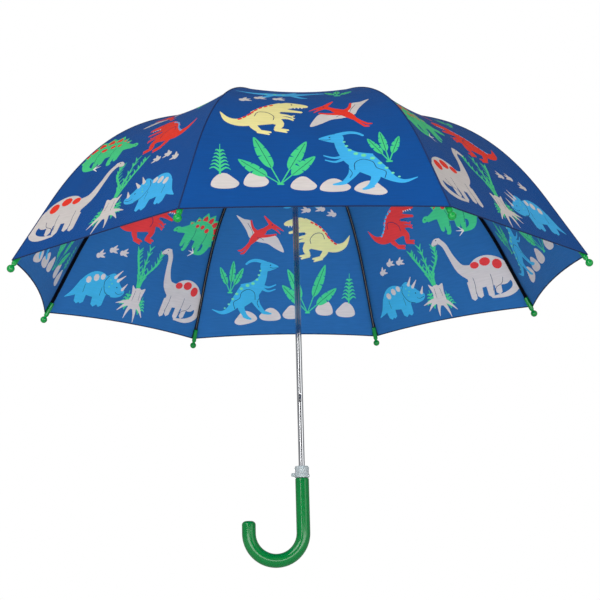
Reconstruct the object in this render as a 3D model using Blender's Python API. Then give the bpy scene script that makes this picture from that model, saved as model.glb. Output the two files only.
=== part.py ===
"""A children's stick umbrella, open: eight fabric gores on eight flexing ribs, a sliding runner
with eight stretchers, a steel shaft and a crook handle.

Metres, +Z up along the shaft. The origin is on the shaft's axis at the middle of the straight grip.
A rib, its stretcher and its gore are each drawn once, in a plane through the shaft's axis with X
pointing outwards, and then turned to their places around the shaft.
"""

import math

import bmesh
import bpy
from mathutils import Matrix, Vector

# Overall sizes
RIB_COUNT = 8
FIRST_RIB_AZIMUTH = math.radians(-112.5)
TIP_RADIUS = 0.36
TIP_HEIGHT = 0.2625
DOME_RISE = 0.2165
DOME_POWER = 3.9
CROWN_PEAK = 0.012
STRAIGHT_FROM = 0.868
CLOSED_SHARE = 0.10

# Clearances, and how far apart two joined shapes keep their faces, so that none lie in one plane
GAP = 0.0003
RUNNING_GAP = 0.00035
INSET = 0.0001
OVERLAP = 0.002
CUT_MARGIN = 0.001

# Shaft, its two spring catches and what turns on its two wire rings
SHAFT_RADIUS = 0.00375
SHAFT_WALL = 0.0007
SHAFT_ABOVE_CROWN = 0.024
CATCH_REACH = 0.0022
CATCH_WIDTH = 0.0010
CATCH_HEIGHT = 0.008
CATCH_DEPTH = 0.0010
CATCH_SLOPE_END = 0.0022
BOTTOM_CATCH_HEIGHT = 0.130
HUB_WALL = 0.0016
WIRE_RADIUS = 0.0005
EYE_RADIUS = 0.0017
FLANGE_WALL = 0.0008
FLANGE_REACH = 0.003
NOTCH_FOOT = 0.005
NOTCH_TAPER = 0.0012
BLADE = 0.0012

# Ribs
RIB_WIDTH = 0.0040
RIB_DEPTH = 0.0036
RIB_WALL = 0.0006
RIB_SOLID_END = 0.006
FLEX_RADIUS = 0.2232
FLEX_EYE = 0.0016
FLEX_PIN = 0.0004
CHEEK = 0.0005
BLADE_REACH = 0.0062
EYE_STRIP_HALF = 0.0014
RIVET_RADIUS = 0.0006

# Stretchers
STRETCHER_LENGTH = 0.170
STRIP = 0.0008
STRIP_DEPTH = 0.0026
WEB_START = 0.078
RUNNER_BLADE = 0.028
BLADE_TAPER = 0.014
BLADE_TIP = 0.002
TIP_DEPTH = 0.0018

# Tips
BALL_RADIUS = 0.0045
NECK_RADIUS = 0.0021
SLEEVE_RADIUS = 0.0031
SLEEVE_START = 0.006
SLEEVE_END = 0.025
SLEEVE_EDGE = 0.0006
TANG_HALF = 0.0009
TANG_END = 0.0095

# Fabric
FABRIC = 0.0006
FABRIC_OFFSET = 0.0040
GORE_INNER = 0.0105
HEM_SHORT = 0.009
HEM_HOLLOW = 0.0065
STRAP_LENGTH = 0.080
STRAP_WIDTH = 0.016
STRAP_THICKNESS = 0.0010
STRAP_ABOVE_HEM = 0.028

# Crown
CAP_RADIUS = 0.014
CAP_THICKNESS = 0.0013
CAP_EDGE = 0.002
FERRULE_RADIUS = 0.0056
FERRULE_FOOT = 0.0078
FERRULE_WALL = 0.012
FERRULE_FLAT = 0.0022
FERRULE_FLARE = 0.002
FERRULE_NOSE = 0.0078

# Runner
RUNNER_BELOW = 0.049
RUNNER_WALL = 0.0011
RUNNER_BELL = 0.0014
RUNNER_BELL_HEIGHT = 0.003
RUNNER_BELL_TAPER = 0.004
RUNNER_COLLAR = 0.0015
RUNNER_SHOULDER = 0.006
RUNNER_SHOULDER_TAPER = 0.003
RUNNER_SLOT_DEPTH = 0.004
KEYWAY_SLACK = 0.0005
WINDOW_HEIGHT = 0.012

# Handle
HANDLE_RADIUS = 0.0083
GRIP_LENGTH = 0.065
CROOK_RADIUS = 0.0327
SHORT_LEG = 0.015
SHAFT_IN_HANDLE = 0.050
HANDLE_EDGE = 0.0012
CROOK_END_ROUND = 0.004
CROOK_END_FLAT = 0.35
COLLAR_RADIUS = 0.0091
COLLAR_HEIGHT = 0.0140
NUB_RADIUS = 0.0022
NUB_REACH = 0.004
NUB_HEIGHT = 0.0035
COLLAR_EDGE = 0.0012
COLLAR_FOOT_EDGE = 0.0008

# What follows from them
HALF_GORE = math.pi / RIB_COUNT
BORE_RADIUS = SHAFT_RADIUS + RUNNING_GAP
KEYWAY_RADIUS = SHAFT_RADIUS + CATCH_REACH + RUNNING_GAP
HUB_RADIUS = KEYWAY_RADIUS + HUB_WALL
RING_RADIUS = HUB_RADIUS + GAP + EYE_RADIUS
FLANGE_RADIUS = RING_RADIUS + FLANGE_REACH
CHANNEL_HALF = WIRE_RADIUS + GAP
FLANGE_HALF = CHANNEL_HALF + FLANGE_WALL
SLOT_WIDTH = BLADE + 2 * GAP
HANDLE_TOP = GRIP_LENGTH / 2
CATCH_DIRECTION = math.radians(-90)


# ---- The dome and the folding linkage ----


def dome_fall(u):
    """A measure of how far the dome has come down at a share u of its radius. It is a power of u
    that goes on in a straight line where the ribs' ends do."""
    if u < STRAIGHT_FROM:
        return u**DOME_POWER
    slope = DOME_POWER * STRAIGHT_FROM ** (DOME_POWER - 1)
    return STRAIGHT_FROM**DOME_POWER + slope * (u - STRAIGHT_FROM)


def rib_height(r):
    """The height of a rib's centreline at radius r, open."""
    u = r / TIP_RADIUS
    return TIP_HEIGHT + DOME_RISE * (1 - dome_fall(u) / dome_fall(1)) + CROWN_PEAK * (1 - u) ** 3


def rib_point(r):
    return Vector((r, rib_height(r)))


def rib_normal(r):
    """The unit normal of a rib's centreline at radius r, pointing out of the dome."""
    step = 1e-5
    slope = (rib_height(r + step) - rib_height(r - step)) / (2 * step)
    return Vector((-slope, 1)).normalized()


def radius_at_distance(start, distance):
    """The radius where the centreline is this far in a straight line from the point start."""
    low, high = start.x, TIP_RADIUS
    for _ in range(60):
        middle = (low + high) / 2
        if (rib_point(middle) - start).length < distance:
            low = middle
        else:
            high = middle
    return low


def radius_before_tip(length):
    """The radius where the centreline is this far in a straight line from the tip."""
    low, high = FLEX_RADIUS, TIP_RADIUS
    tip = rib_point(TIP_RADIUS)
    for _ in range(60):
        middle = (low + high) / 2
        if (rib_point(middle) - tip).length > length:
            low = middle
        else:
            high = middle
    return low


def from_down(vector):
    """The angle between straight down and a vector that leads outwards."""
    return math.atan2(vector.x, -vector.y)


CROWN_PIVOT = rib_point(RING_RADIUS)
RIVET = rib_point(radius_at_distance(CROWN_PIVOT, STRETCHER_LENGTH))
FLEX = rib_point(FLEX_RADIUS)
TIP = rib_point(TIP_RADIUS)
RUNNER_PIVOT = Vector((RING_RADIUS, 2 * RIVET.y - CROWN_PIVOT.y))


def fold(pivot_open, end_open, pivot_radius, end_radius):
    """How far a link swings down when its two ends close in to the radii given."""
    link = end_open - pivot_open
    return from_down(link) - math.asin((end_radius - pivot_radius) / link.length)


FLEX_CLOSED = CLOSED_SHARE * FLEX_RADIUS
RIB_FOLD = fold(CROWN_PIVOT, FLEX, RING_RADIUS, FLEX_CLOSED)
ALPHA_OPEN = from_down(RIVET - CROWN_PIVOT)
ALPHA_CLOSED = ALPHA_OPEN - RIB_FOLD
RUNNER_TRAVEL = 2 * STRETCHER_LENGTH * (math.cos(ALPHA_CLOSED) - math.cos(ALPHA_OPEN))
WINDOW_BELOW = RUNNER_PIVOT.y - RUNNER_TRAVEL - BOTTOM_CATCH_HEIGHT
TOP_CATCH_HEIGHT = RUNNER_PIVOT.y - WINDOW_BELOW
COSINE = math.cos(HALF_GORE)


def in_gore(point):
    """A point of the rib's plane moved level to the middle of the gore beside it."""
    return Vector((point.x * COSINE, point.y))


def fabric_point(r, extra=0.0):
    """The fabric's middle layer above a rib at radius r, and further out by extra."""
    return rib_point(r) + rib_normal(r) * (FABRIC_OFFSET + extra)


GORE_PIVOT = in_gore(CROWN_PIVOT)
GORE_FLEX = in_gore(fabric_point(FLEX_RADIUS))


def rib_azimuth(k):
    return FIRST_RIB_AZIMUTH + 2 * HALF_GORE * (k - 1)


def gore_azimuth(k):
    return rib_azimuth(k) + HALF_GORE


# ---- Materials ----


def material(name, color, roughness, metallic=0.0, alpha=1.0):
    made = bpy.data.materials.new(name)
    made.use_nodes = True
    shader = made.node_tree.nodes["Principled BSDF"]
    shader.inputs["Base Color"].default_value = (*color, 1)
    shader.inputs["Roughness"].default_value = roughness
    shader.inputs["Metallic"].default_value = metallic
    shader.inputs["Alpha"].default_value = alpha
    made.diffuse_color = (*color, alpha)
    return made


for item in list(bpy.data.objects):
    bpy.data.objects.remove(item)

CHROME = material("chrome", (0.75, 0.76, 0.78), 0.12, 1.0)
WIRE = material("wire", (0.55, 0.56, 0.58), 0.3, 1.0)
RIB_STEEL = material("black_steel", (0.02, 0.02, 0.025), 0.4, 0.5)
BLUE = material("blue_fabric", (0.010, 0.062, 0.30), 0.75)
GREEN = material("green_plastic", (0.0, 0.21, 0.045), 0.18)
BLACK = material("black_plastic", (0.015, 0.015, 0.018), 0.35)
CLEAR = material("clear_plastic", (0.80, 0.82, 0.84), 0.25, 0.0, 0.75)


# ---- Shapes ----


def new_object(name, build, look=None):
    """An object from a bmesh that is closed, with its faces turned outwards."""
    bmesh.ops.recalc_face_normals(build, faces=build.faces[:])
    mesh = bpy.data.meshes.new(name)
    build.to_mesh(mesh)
    build.free()
    if look:
        mesh.materials.append(look)
    made = bpy.data.objects.new(name, mesh)
    bpy.context.scene.collection.objects.link(made)
    return made


def prism(outline, low, high, name="prism"):
    """A flat outline in X and Z, made solid between two values of Y."""
    build = bmesh.new()
    near = [build.verts.new((p[0], low, p[1])) for p in outline]
    far = [build.verts.new((p[0], high, p[1])) for p in outline]
    build.faces.new(near)
    build.faces.new(far)
    for i, vertex in enumerate(near):
        after = (i + 1) % len(near)
        build.faces.new((vertex, near[after], far[after], far[i]))
    return new_object(name, build)


def disc(center, radius, low, high, sides=8):
    """A round bar along Y."""
    step = 2 * math.pi / sides
    outline = [
        center + radius * Vector((math.cos(step * i), math.sin(step * i))) for i in range(sides)
    ]
    return prism(outline, low, high, "disc")


def box(low, high, name="box"):
    """A block between two corners."""
    outline = [(low[0], low[2]), (high[0], low[2]), (high[0], high[2]), (low[0], high[2])]
    return prism(outline, low[1], high[1], name)


def spaced(start, end, count):
    return [start + (end - start) * i / (count - 1) for i in range(count)]


def band(radii, below, above, origin):
    """The outline of a strip that follows the rib, given its reach below and above the rib."""
    upper = [rib_point(r) + rib_normal(r) * above - origin for r in radii]
    lower = [rib_point(r) - rib_normal(r) * below - origin for r in radii]
    return upper + lower[::-1]


def turned(name, profile, look=None, sides=24, closed=True):
    """A profile of (radius, height) turned about Z. A closed profile makes a ring and an open
    one starts and ends on the axis."""
    build = bmesh.new()
    rings = []
    for radius, height in profile:
        if radius == 0:
            rings.append([build.verts.new((0, 0, height))])
            continue
        angles = [2 * math.pi * i / sides for i in range(sides)]
        rings.append(
            [build.verts.new((radius * math.cos(a), radius * math.sin(a), height)) for a in angles]
        )
    pairs = list(zip(rings, rings[1:]))
    if closed:
        pairs.append((rings[-1], rings[0]))
    for one, two in pairs:
        for i in range(sides):
            after = (i + 1) % sides
            if len(one) == 1:
                build.faces.new((one[0], two[i], two[after]))
            elif len(two) == 1:
                build.faces.new((one[i], two[0], one[after]))
            else:
                build.faces.new((one[i], two[i], two[after], one[after]))
    return new_object(name, build, look)


def combine(base, others, operation):
    """The base joined with, or cut by, the other objects, which are used up."""
    for other in others:
        change = base.modifiers.new("combine", "BOOLEAN")
        change.operation = operation
        change.solver = "EXACT"
        change.object = other
    view = bpy.context.evaluated_depsgraph_get()
    mesh = bpy.data.meshes.new_from_object(base.evaluated_get(view))
    base.modifiers.clear()
    base.data = mesh
    for other in others:
        bpy.data.objects.remove(other)
    return base


def tidy(thing, look):
    """Drops the specks that a Boolean leaves and gives the object its one material."""
    build = bmesh.new()
    build.from_mesh(thing.data)
    bmesh.ops.remove_doubles(build, verts=build.verts[:], dist=2e-6)
    bmesh.ops.dissolve_degenerate(build, edges=build.edges[:], dist=2e-6)
    build.to_mesh(thing.data)
    build.free()
    thing.data.materials.clear()
    thing.data.materials.append(look)
    return thing


def place(thing, name, pivot, azimuth):
    """A copy of a drawn piece, turned to its place with its origin on its pivot."""
    made = bpy.data.objects.new(name, thing.data)
    made.rotation_euler = (0, 0, azimuth)
    made.location = Matrix.Rotation(azimuth, 3, "Z") @ Vector((pivot.x, 0, pivot.y))
    bpy.context.scene.collection.objects.link(made)
    return made


# ---- Ribs, stretchers and tips ----


def eyed_strip(points, eye, half=EYE_STRIP_HALF):
    """The outline of a strip that starts with a round eye about the first of its points."""
    center = points[0]
    along = (points[1] - center).normalized()
    across = Vector((-along.y, along.x))
    join = math.asin(half / eye)
    round_part = [
        center + eye * (along * math.cos(angle) + across * math.sin(angle))
        for angle in spaced(join, 2 * math.pi - join, 9)
    ]
    left, right = [], []
    for before, point in zip(points, points[1:]):
        along = (point - before).normalized()
        across = Vector((-along.y, along.x))
        left.append(point + across * half)
        right.append(point - across * half)
    return round_part + right + left[::-1]


def channel(start, end, origin):
    """The cutter that hollows a rib's section from below, short of both of its ends."""
    radii = spaced(start + RIB_SOLID_END, end - RIB_SOLID_END, 9)
    half_width = RIB_WIDTH / 2 - RIB_WALL
    outline = band(radii, RIB_DEPTH / 2 + CUT_MARGIN, RIB_DEPTH / 2 - RIB_WALL, origin)
    return prism(outline, -half_width, half_width)


def draw_rib_inner():
    """From the crown's wire ring to the point where the rib bends: an eye, a hollow section that
    is open below, and an eye."""
    half_blade, half_rib, half_depth = BLADE / 2, RIB_WIDTH / 2, RIB_DEPTH / 2
    start = RING_RADIUS + BLADE_REACH
    end = FLEX_RADIUS - FLEX_EYE - 2 * GAP
    section = band(spaced(start, end, 9), half_depth, half_depth, CROWN_PIVOT)
    crown_blade = [rib_point(r) - CROWN_PIVOT for r in spaced(RING_RADIUS, start + OVERLAP, 3)]
    flex_blade = [rib_point(r) - CROWN_PIVOT for r in spaced(FLEX_RADIUS, end - OVERLAP, 3)]
    rib = prism(section, -half_rib, half_rib)
    blades = [
        prism(eyed_strip(crown_blade, EYE_RADIUS), -half_blade, half_blade),
        prism(eyed_strip(flex_blade, FLEX_EYE), -half_blade, half_blade),
    ]
    holes = [
        disc(Vector((0, 0)), WIRE_RADIUS + RUNNING_GAP, -RIB_WIDTH, RIB_WIDTH),
        disc(RIVET - CROWN_PIVOT, RIVET_RADIUS + RUNNING_GAP, -RIB_WIDTH, RIB_WIDTH),
        disc(FLEX - CROWN_PIVOT, FLEX_PIN + RUNNING_GAP, -RIB_WIDTH, RIB_WIDTH),
    ]
    combine(rib, blades, "UNION")
    combine(rib, holes + [channel(start, end, CROWN_PIVOT)], "DIFFERENCE")
    return tidy(rib, RIB_STEEL)


def draw_rib_outer():
    """From the bend to inside the tip: two cheeks with their pin, a hollow section that is open
    below, and a thin tang."""
    half_rib, half_depth = RIB_WIDTH / 2, RIB_DEPTH / 2
    start = FLEX_RADIUS + FLEX_EYE + 2 * GAP
    end = radius_before_tip(SLEEVE_END + 2 * GAP)
    section = band(spaced(start, end, 9), half_depth, half_depth, FLEX)
    tang = spaced(radius_before_tip(SLEEVE_END + OVERLAP), radius_before_tip(TANG_END), 4)
    cheek = [rib_point(r) - FLEX for r in spaced(FLEX_RADIUS, start + OVERLAP, 3)]
    outside = half_rib - INSET
    inside = outside - CHEEK
    rib = prism(section, -half_rib, half_rib)
    pieces = [prism(band(tang, TANG_HALF, TANG_HALF, FLEX), -TANG_HALF, TANG_HALF)]
    for low, high in ((-outside, -inside), (inside, outside)):
        pieces.append(prism(eyed_strip(cheek, FLEX_EYE), low, high))
    pieces.append(disc(Vector((0, 0)), FLEX_PIN, -inside - INSET, inside + INSET))
    combine(rib, pieces, "UNION")
    combine(rib, [channel(start, end, FLEX)], "DIFFERENCE")
    return tidy(rib, RIB_STEEL)


def draw_stretcher():
    """From its rivet in the rib to the runner's wire ring: two strips that the rib lies between
    when folded, a web that joins them further on, and a single blade for the runner's slot."""
    along = (RUNNER_PIVOT - RIVET).normalized()
    across = Vector((along.y, -along.x))
    inside = RIB_WIDTH / 2 + GAP
    outside = inside + STRIP
    half = STRIP_DEPTH / 2
    wide_end = STRETCHER_LENGTH - RUNNER_BLADE
    blade_start = wide_end - OVERLAP
    taper = STRETCHER_LENGTH - BLADE_TAPER
    tip = STRETCHER_LENGTH - BLADE_TIP
    blade_top = -WIRE_RADIUS - GAP
    blade_floor = blade_top - TIP_DEPTH

    def line(*points):
        return [along * d + across * e for d, e in points]

    def slab(first, last, low, high):
        return line((first, low), (last, low), (last, high), (first, high))

    blade = line(
        (blade_start, half - INSET),
        (taper, half - INSET),
        (tip, blade_top),
        (STRETCHER_LENGTH, blade_top),
        (STRETCHER_LENGTH, blade_floor),
        (tip, blade_floor),
        (taper, INSET - half),
        (blade_start, INSET - half),
    )
    cheek = eyed_strip([Vector((0, 0)), along * (wide_end - INSET)], FLEX_EYE, half - INSET)
    body = prism(slab(wide_end - 2 * OVERLAP, wide_end, -half, half), INSET - outside, outside - INSET)
    web = slab(WEB_START, wide_end - OVERLAP, half - STRIP, half - INSET / 2)
    pieces = [
        prism(web, 2 * INSET - outside, outside - 2 * INSET),
        prism(blade, -BLADE / 2, BLADE / 2),
        disc(Vector((0, 0)), RIVET_RADIUS, -inside - STRIP / 2, inside + STRIP / 2),
    ]
    for low, high in ((-outside, -inside), (inside, outside)):
        pieces.append(prism(cheek, low, high))
    combine(body, pieces, "UNION")
    return tidy(body, RIB_STEEL)


def draw_tip():
    """A ball on a neck and a sleeve whose blind bore takes the rib's tang."""
    back = rib_point(radius_before_tip(SLEEVE_END)) - TIP
    lean = math.atan2(back.x, back.y)
    bore = TANG_HALF * math.sqrt(2) + GAP + INSET
    bore_end = TANG_END - GAP - SLEEVE_EDGE
    join = math.asin(NECK_RADIUS / BALL_RADIUS)
    turns = spaced(math.pi, join, 6)
    profile = [(BALL_RADIUS * math.sin(a), BALL_RADIUS * math.cos(a)) for a in turns[1:]]
    profile = [(0, -BALL_RADIUS)] + profile
    profile += [
        (NECK_RADIUS, SLEEVE_START - SLEEVE_EDGE),
        (SLEEVE_RADIUS, SLEEVE_START + SLEEVE_EDGE),
        (SLEEVE_RADIUS, SLEEVE_END - SLEEVE_EDGE),
        (SLEEVE_RADIUS - SLEEVE_EDGE, SLEEVE_END),
        (bore, SLEEVE_END),
        (bore, bore_end),
        (0, bore_end),
    ]
    tip = turned("tip", profile, GREEN, 10, closed=False)
    tip.data.transform(Matrix.Rotation(lean, 4, "Y"))
    tip.data.transform(Matrix.Translation(Vector((TIP.x - FLEX.x, 0, TIP.y - FLEX.y))))
    return tip


# ---- Gores ----


def draw_gore(radii, origin, columns=2, hollow=0.0):
    """A panel that spans from rib to rib in level straight lines, with its last row drawn up
    towards the middle by hollow. X is at the gore's middle and the origin is on its hinge."""
    build = bmesh.new()
    slant = math.tan(HALF_GORE)
    layers = []
    for side in (-FABRIC / 2, FABRIC / 2):
        rows = []
        for r in radii:
            row = []
            for i in range(columns):
                across = 2 * i / (columns - 1) - 1
                raised = hollow * (1 - across * across)
                at = radius_before_tip(HEM_SHORT + raised) if r == radii[-1] and hollow else r
                point = in_gore(fabric_point(at, side))
                edge = point.x * slant - (GAP + INSET) / COSINE
                row.append(
                    build.verts.new((point.x - origin.x, across * edge, point.y - origin.y))
                )
            rows.append(row)
        layers.append(rows)
    lower, upper = layers
    last = len(radii) - 1
    for j in range(last):
        for i in range(columns - 1):
            for rows in layers:
                build.faces.new((rows[j][i], rows[j][i + 1], rows[j + 1][i + 1], rows[j + 1][i]))
        for i in (0, columns - 1):
            build.faces.new((lower[j][i], upper[j][i], upper[j + 1][i], lower[j + 1][i]))
    for j in (0, last):
        for i in range(columns - 1):
            build.faces.new((lower[j][i], upper[j][i], upper[j][i + 1], lower[j][i + 1]))
    bmesh.ops.triangulate(build, faces=build.faces[:])
    return new_object("gore", build, BLUE)


def draw_strap():
    """The closing strap, hanging flat on the outside of the rear gore."""
    low = radius_before_tip(HEM_SHORT + STRAP_ABOVE_HEM)
    high = radius_before_tip(HEM_SHORT + STRAP_ABOVE_HEM + STRAP_LENGTH)
    floor = FABRIC / 2 + GAP + INSET
    radii = spaced(high, low, 6)
    upper = [in_gore(fabric_point(r, floor + STRAP_THICKNESS)) - GORE_FLEX for r in radii]
    lower = [in_gore(fabric_point(r, floor)) - GORE_FLEX for r in radii]
    strap = prism(upper + lower[::-1], -STRAP_WIDTH / 2, STRAP_WIDTH / 2, "strap")
    strap.data.materials.append(BLUE)
    return strap


# ---- Shaft, crown, runner and handle ----


def slots(height_low, height_high):
    """Eight cutters, one for each rib, from the hub outwards."""
    made = []
    for k in range(1, RIB_COUNT + 1):
        cutter = box(
            (HUB_RADIUS, -SLOT_WIDTH / 2, height_low),
            (FLANGE_RADIUS + CUT_MARGIN, SLOT_WIDTH / 2, height_high),
        )
        cutter.data.transform(Matrix.Rotation(rib_azimuth(k), 4, "Z"))
        made.append(cutter)
    return made


def grooved_flange(height):
    """The outer part of a hub's profile: two flanges with the wire's channel between them."""
    floor = RING_RADIUS - WIRE_RADIUS - GAP - INSET
    return [
        (FLANGE_RADIUS, height + FLANGE_HALF),
        (FLANGE_RADIUS, height + CHANNEL_HALF),
        (floor, height + CHANNEL_HALF),
        (floor, height - CHANNEL_HALF),
        (FLANGE_RADIUS, height - CHANNEL_HALF),
        (FLANGE_RADIUS, height - FLANGE_HALF),
    ]


def make_wire(name, height):
    """A closed ring of wire."""
    sides = 6
    profile = []
    for i in range(sides):
        angle = 2 * math.pi * (i + 0.5) / sides
        profile.append(
            (RING_RADIUS + WIRE_RADIUS * math.cos(angle), height + WIRE_RADIUS * math.sin(angle))
        )
    return turned(name, profile, WIRE, 24)


def make_top_notch():
    """The hub at the crown that holds the ribs' wire ring."""
    height = CROWN_PIVOT.y
    profile = [
        (BORE_RADIUS, height + FLANGE_HALF),
        *grooved_flange(height),
        (HUB_RADIUS, height - FLANGE_HALF),
        (HUB_RADIUS - NOTCH_TAPER, height - FLANGE_HALF - NOTCH_FOOT),
        (BORE_RADIUS, height - FLANGE_HALF - NOTCH_FOOT),
    ]
    notch = turned("top_notch", profile)
    reach = FLANGE_HALF + CUT_MARGIN
    combine(notch, slots(height - reach, height + reach), "DIFFERENCE")
    return tidy(notch, BLACK)


def make_runner():
    """The sliding hub with the stretchers' wire ring, a keyway that passes over the catches and
    a window that a catch springs out through."""
    height = RUNNER_PIVOT.y
    tube = KEYWAY_RADIUS + RUNNER_WALL
    bottom = height - RUNNER_BELOW
    top = height + FLANGE_HALF + RUNNER_COLLAR
    shoulder = height - FLANGE_HALF - RUNNER_SHOULDER
    bell = bottom + RUNNER_BELL_HEIGHT
    profile = [
        (BORE_RADIUS, top),
        (HUB_RADIUS - FLANGE_WALL, top),
        (HUB_RADIUS, height + FLANGE_HALF),
        *grooved_flange(height),
        (HUB_RADIUS, height - FLANGE_HALF),
        (HUB_RADIUS, shoulder),
        (tube, shoulder - RUNNER_SHOULDER_TAPER),
        (tube, bell + RUNNER_BELL_TAPER),
        (tube + RUNNER_BELL, bell),
        (tube + RUNNER_BELL, bottom),
        (BORE_RADIUS, bottom),
    ]
    runner = turned("runner", profile)
    half_window = CATCH_WIDTH / 2 + RUNNING_GAP
    half_key = half_window + KEYWAY_SLACK
    middle = height - WINDOW_BELOW
    keyway = box(
        (-half_key, -KEYWAY_RADIUS, bottom - CUT_MARGIN),
        (half_key, 0, top + CUT_MARGIN),
    )
    window = box(
        (-half_window, -tube - CUT_MARGIN, middle - WINDOW_HEIGHT / 2),
        (half_window, -BORE_RADIUS, middle + WINDOW_HEIGHT / 2),
    )
    depth = FLANGE_HALF + RUNNER_SLOT_DEPTH
    cutters = slots(height - depth, height + depth)
    combine(runner, cutters + [keyway, window], "DIFFERENCE")
    return tidy(runner, BLACK)


def make_shaft():
    """A steel tube, open at both ends, with a slot for each catch."""
    low = HANDLE_TOP - SHAFT_IN_HANDLE
    high = CROWN_PIVOT.y + SHAFT_ABOVE_CROWN
    inner = SHAFT_RADIUS - SHAFT_WALL
    profile = [(inner, high), (SHAFT_RADIUS, high), (SHAFT_RADIUS, low), (inner, low)]
    shaft = turned("shaft", profile, sides=20)
    half = CATCH_WIDTH / 2 + GAP
    cutters = []
    for height in (BOTTOM_CATCH_HEIGHT, TOP_CATCH_HEIGHT):
        reach = CATCH_HEIGHT / 2 + GAP
        cutters.append(
            box((-half, -SHAFT_RADIUS - CUT_MARGIN, height - reach), (half, 0, height + reach))
        )
    combine(shaft, cutters, "DIFFERENCE")
    return tidy(shaft, CHROME)


def make_catch(name, height, flat_side):
    """A spring catch: flat on the side that the runner bears on and sloped on the other.
    It is drawn lying along X and then turned to its side of the shaft."""
    reach = SHAFT_RADIUS + CATCH_REACH
    end = CATCH_HEIGHT / 2
    outline = [
        (CATCH_DEPTH, -end),
        (SHAFT_RADIUS - 2 * INSET, -end),
        (reach, end - CATCH_SLOPE_END),
        (reach, end),
        (CATCH_DEPTH, end),
    ]
    catch = prism([(x, flat_side * z) for x, z in outline], -CATCH_WIDTH / 2, CATCH_WIDTH / 2, name)
    catch.data.materials.append(WIRE)
    catch.rotation_euler = (0, 0, CATCH_DIRECTION)
    catch.location = (0, 0, height)
    return catch


def make_crown_cap():
    """The conical washer that clamps the fabric onto the notch."""
    lift = FABRIC / 2 + GAP + INSET
    inner = fabric_point(BORE_RADIUS, lift).y
    outer = fabric_point(CAP_RADIUS, lift).y
    profile = [
        (BORE_RADIUS, inner + CAP_THICKNESS),
        (CAP_RADIUS - CAP_EDGE, outer + CAP_THICKNESS),
        (CAP_RADIUS, outer + CAP_THICKNESS / 2),
        (CAP_RADIUS, outer),
        (BORE_RADIUS, inner),
    ]
    return turned("crown_cap", profile, GREEN)


def ferrule_height():
    """The level of the ferrule's foot and of its flat end."""
    foot = fabric_point(BORE_RADIUS, FABRIC / 2 + 2 * GAP).y + CAP_THICKNESS + GAP
    return foot, CROWN_PIVOT.y + SHAFT_ABOVE_CROWN + GAP + FERRULE_WALL


def make_ferrule():
    """The rounded spike over the shaft's top end."""
    foot, top = ferrule_height()
    bore_top = top - FERRULE_WALL
    shoulder = top - FERRULE_NOSE
    profile = [(0, top), (FERRULE_FLAT, top)]
    for angle in spaced(1.1, 0.0, 4):
        radius = FERRULE_FLAT + (FERRULE_RADIUS - FERRULE_FLAT) * math.cos(angle)
        profile.append((radius, shoulder + (top - shoulder) * math.sin(angle)))
    profile += [
        (FERRULE_RADIUS, foot + 2 * FERRULE_FLARE),
        (FERRULE_FOOT, foot + FERRULE_FLARE),
        (FERRULE_FOOT, foot),
        (BORE_RADIUS, foot),
        (BORE_RADIUS, bore_top),
        (0, bore_top),
    ]
    return turned("ferrule", profile, GREEN, 20, closed=False)


def make_handle():
    """A crook: a straight grip with a blind bore for the shaft, a half circle and a short leg."""
    sides = 20
    rings = []

    def ring(x, z, tangent, radius):
        """A ring about a point of the middle line, whose tangent is an angle in X and Z."""
        rings.append((x, z, tangent, radius))

    down = math.radians(-90)
    bore = BORE_RADIUS
    floor = HANDLE_TOP - SHAFT_IN_HANDLE - 2 * GAP
    ring(0, floor, down, 0)
    ring(0, floor, down, bore)
    ring(0, HANDLE_TOP, down, bore)
    ring(0, HANDLE_TOP, down, HANDLE_RADIUS - HANDLE_EDGE)
    ring(0, HANDLE_TOP - HANDLE_EDGE, down, HANDLE_RADIUS)
    for turn in spaced(0.0, math.pi, 13):
        x = -CROOK_RADIUS + CROOK_RADIUS * math.cos(turn)
        z = -HANDLE_TOP - CROOK_RADIUS * math.sin(turn)
        ring(x, z, down - turn, HANDLE_RADIUS)
    end = -HANDLE_TOP + SHORT_LEG
    up = down - math.pi
    for angle in spaced(0.0, 1.2, 4):
        height = end - CROOK_END_ROUND * (1 - math.sin(angle))
        share = CROOK_END_FLAT + (1 - CROOK_END_FLAT) * math.cos(angle)
        ring(-2 * CROOK_RADIUS, height, up, HANDLE_RADIUS * share)
    ring(-2 * CROOK_RADIUS, end, up, 0)

    build = bmesh.new()
    made = []
    for x, z, tangent, radius in rings:
        center = Vector((x, 0, z))
        side = Vector((-math.sin(tangent), 0, math.cos(tangent)))
        if radius == 0:
            made.append([build.verts.new(center)])
            continue
        loop = []
        for i in range(sides):
            angle = 2 * math.pi * i / sides
            offset = side * math.cos(angle) + Vector((0, 1, 0)) * math.sin(angle)
            loop.append(build.verts.new(center + radius * offset))
        made.append(loop)
    for one, two in zip(made, made[1:]):
        for i in range(sides):
            after = (i + 1) % sides
            if len(one) == 1:
                build.faces.new((one[0], two[i], two[after]))
            elif len(two) == 1:
                build.faces.new((one[i], two[0], one[after]))
            else:
                build.faces.new((one[i], two[i], two[after], one[after]))
    return new_object("handle", build, GREEN)


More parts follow.
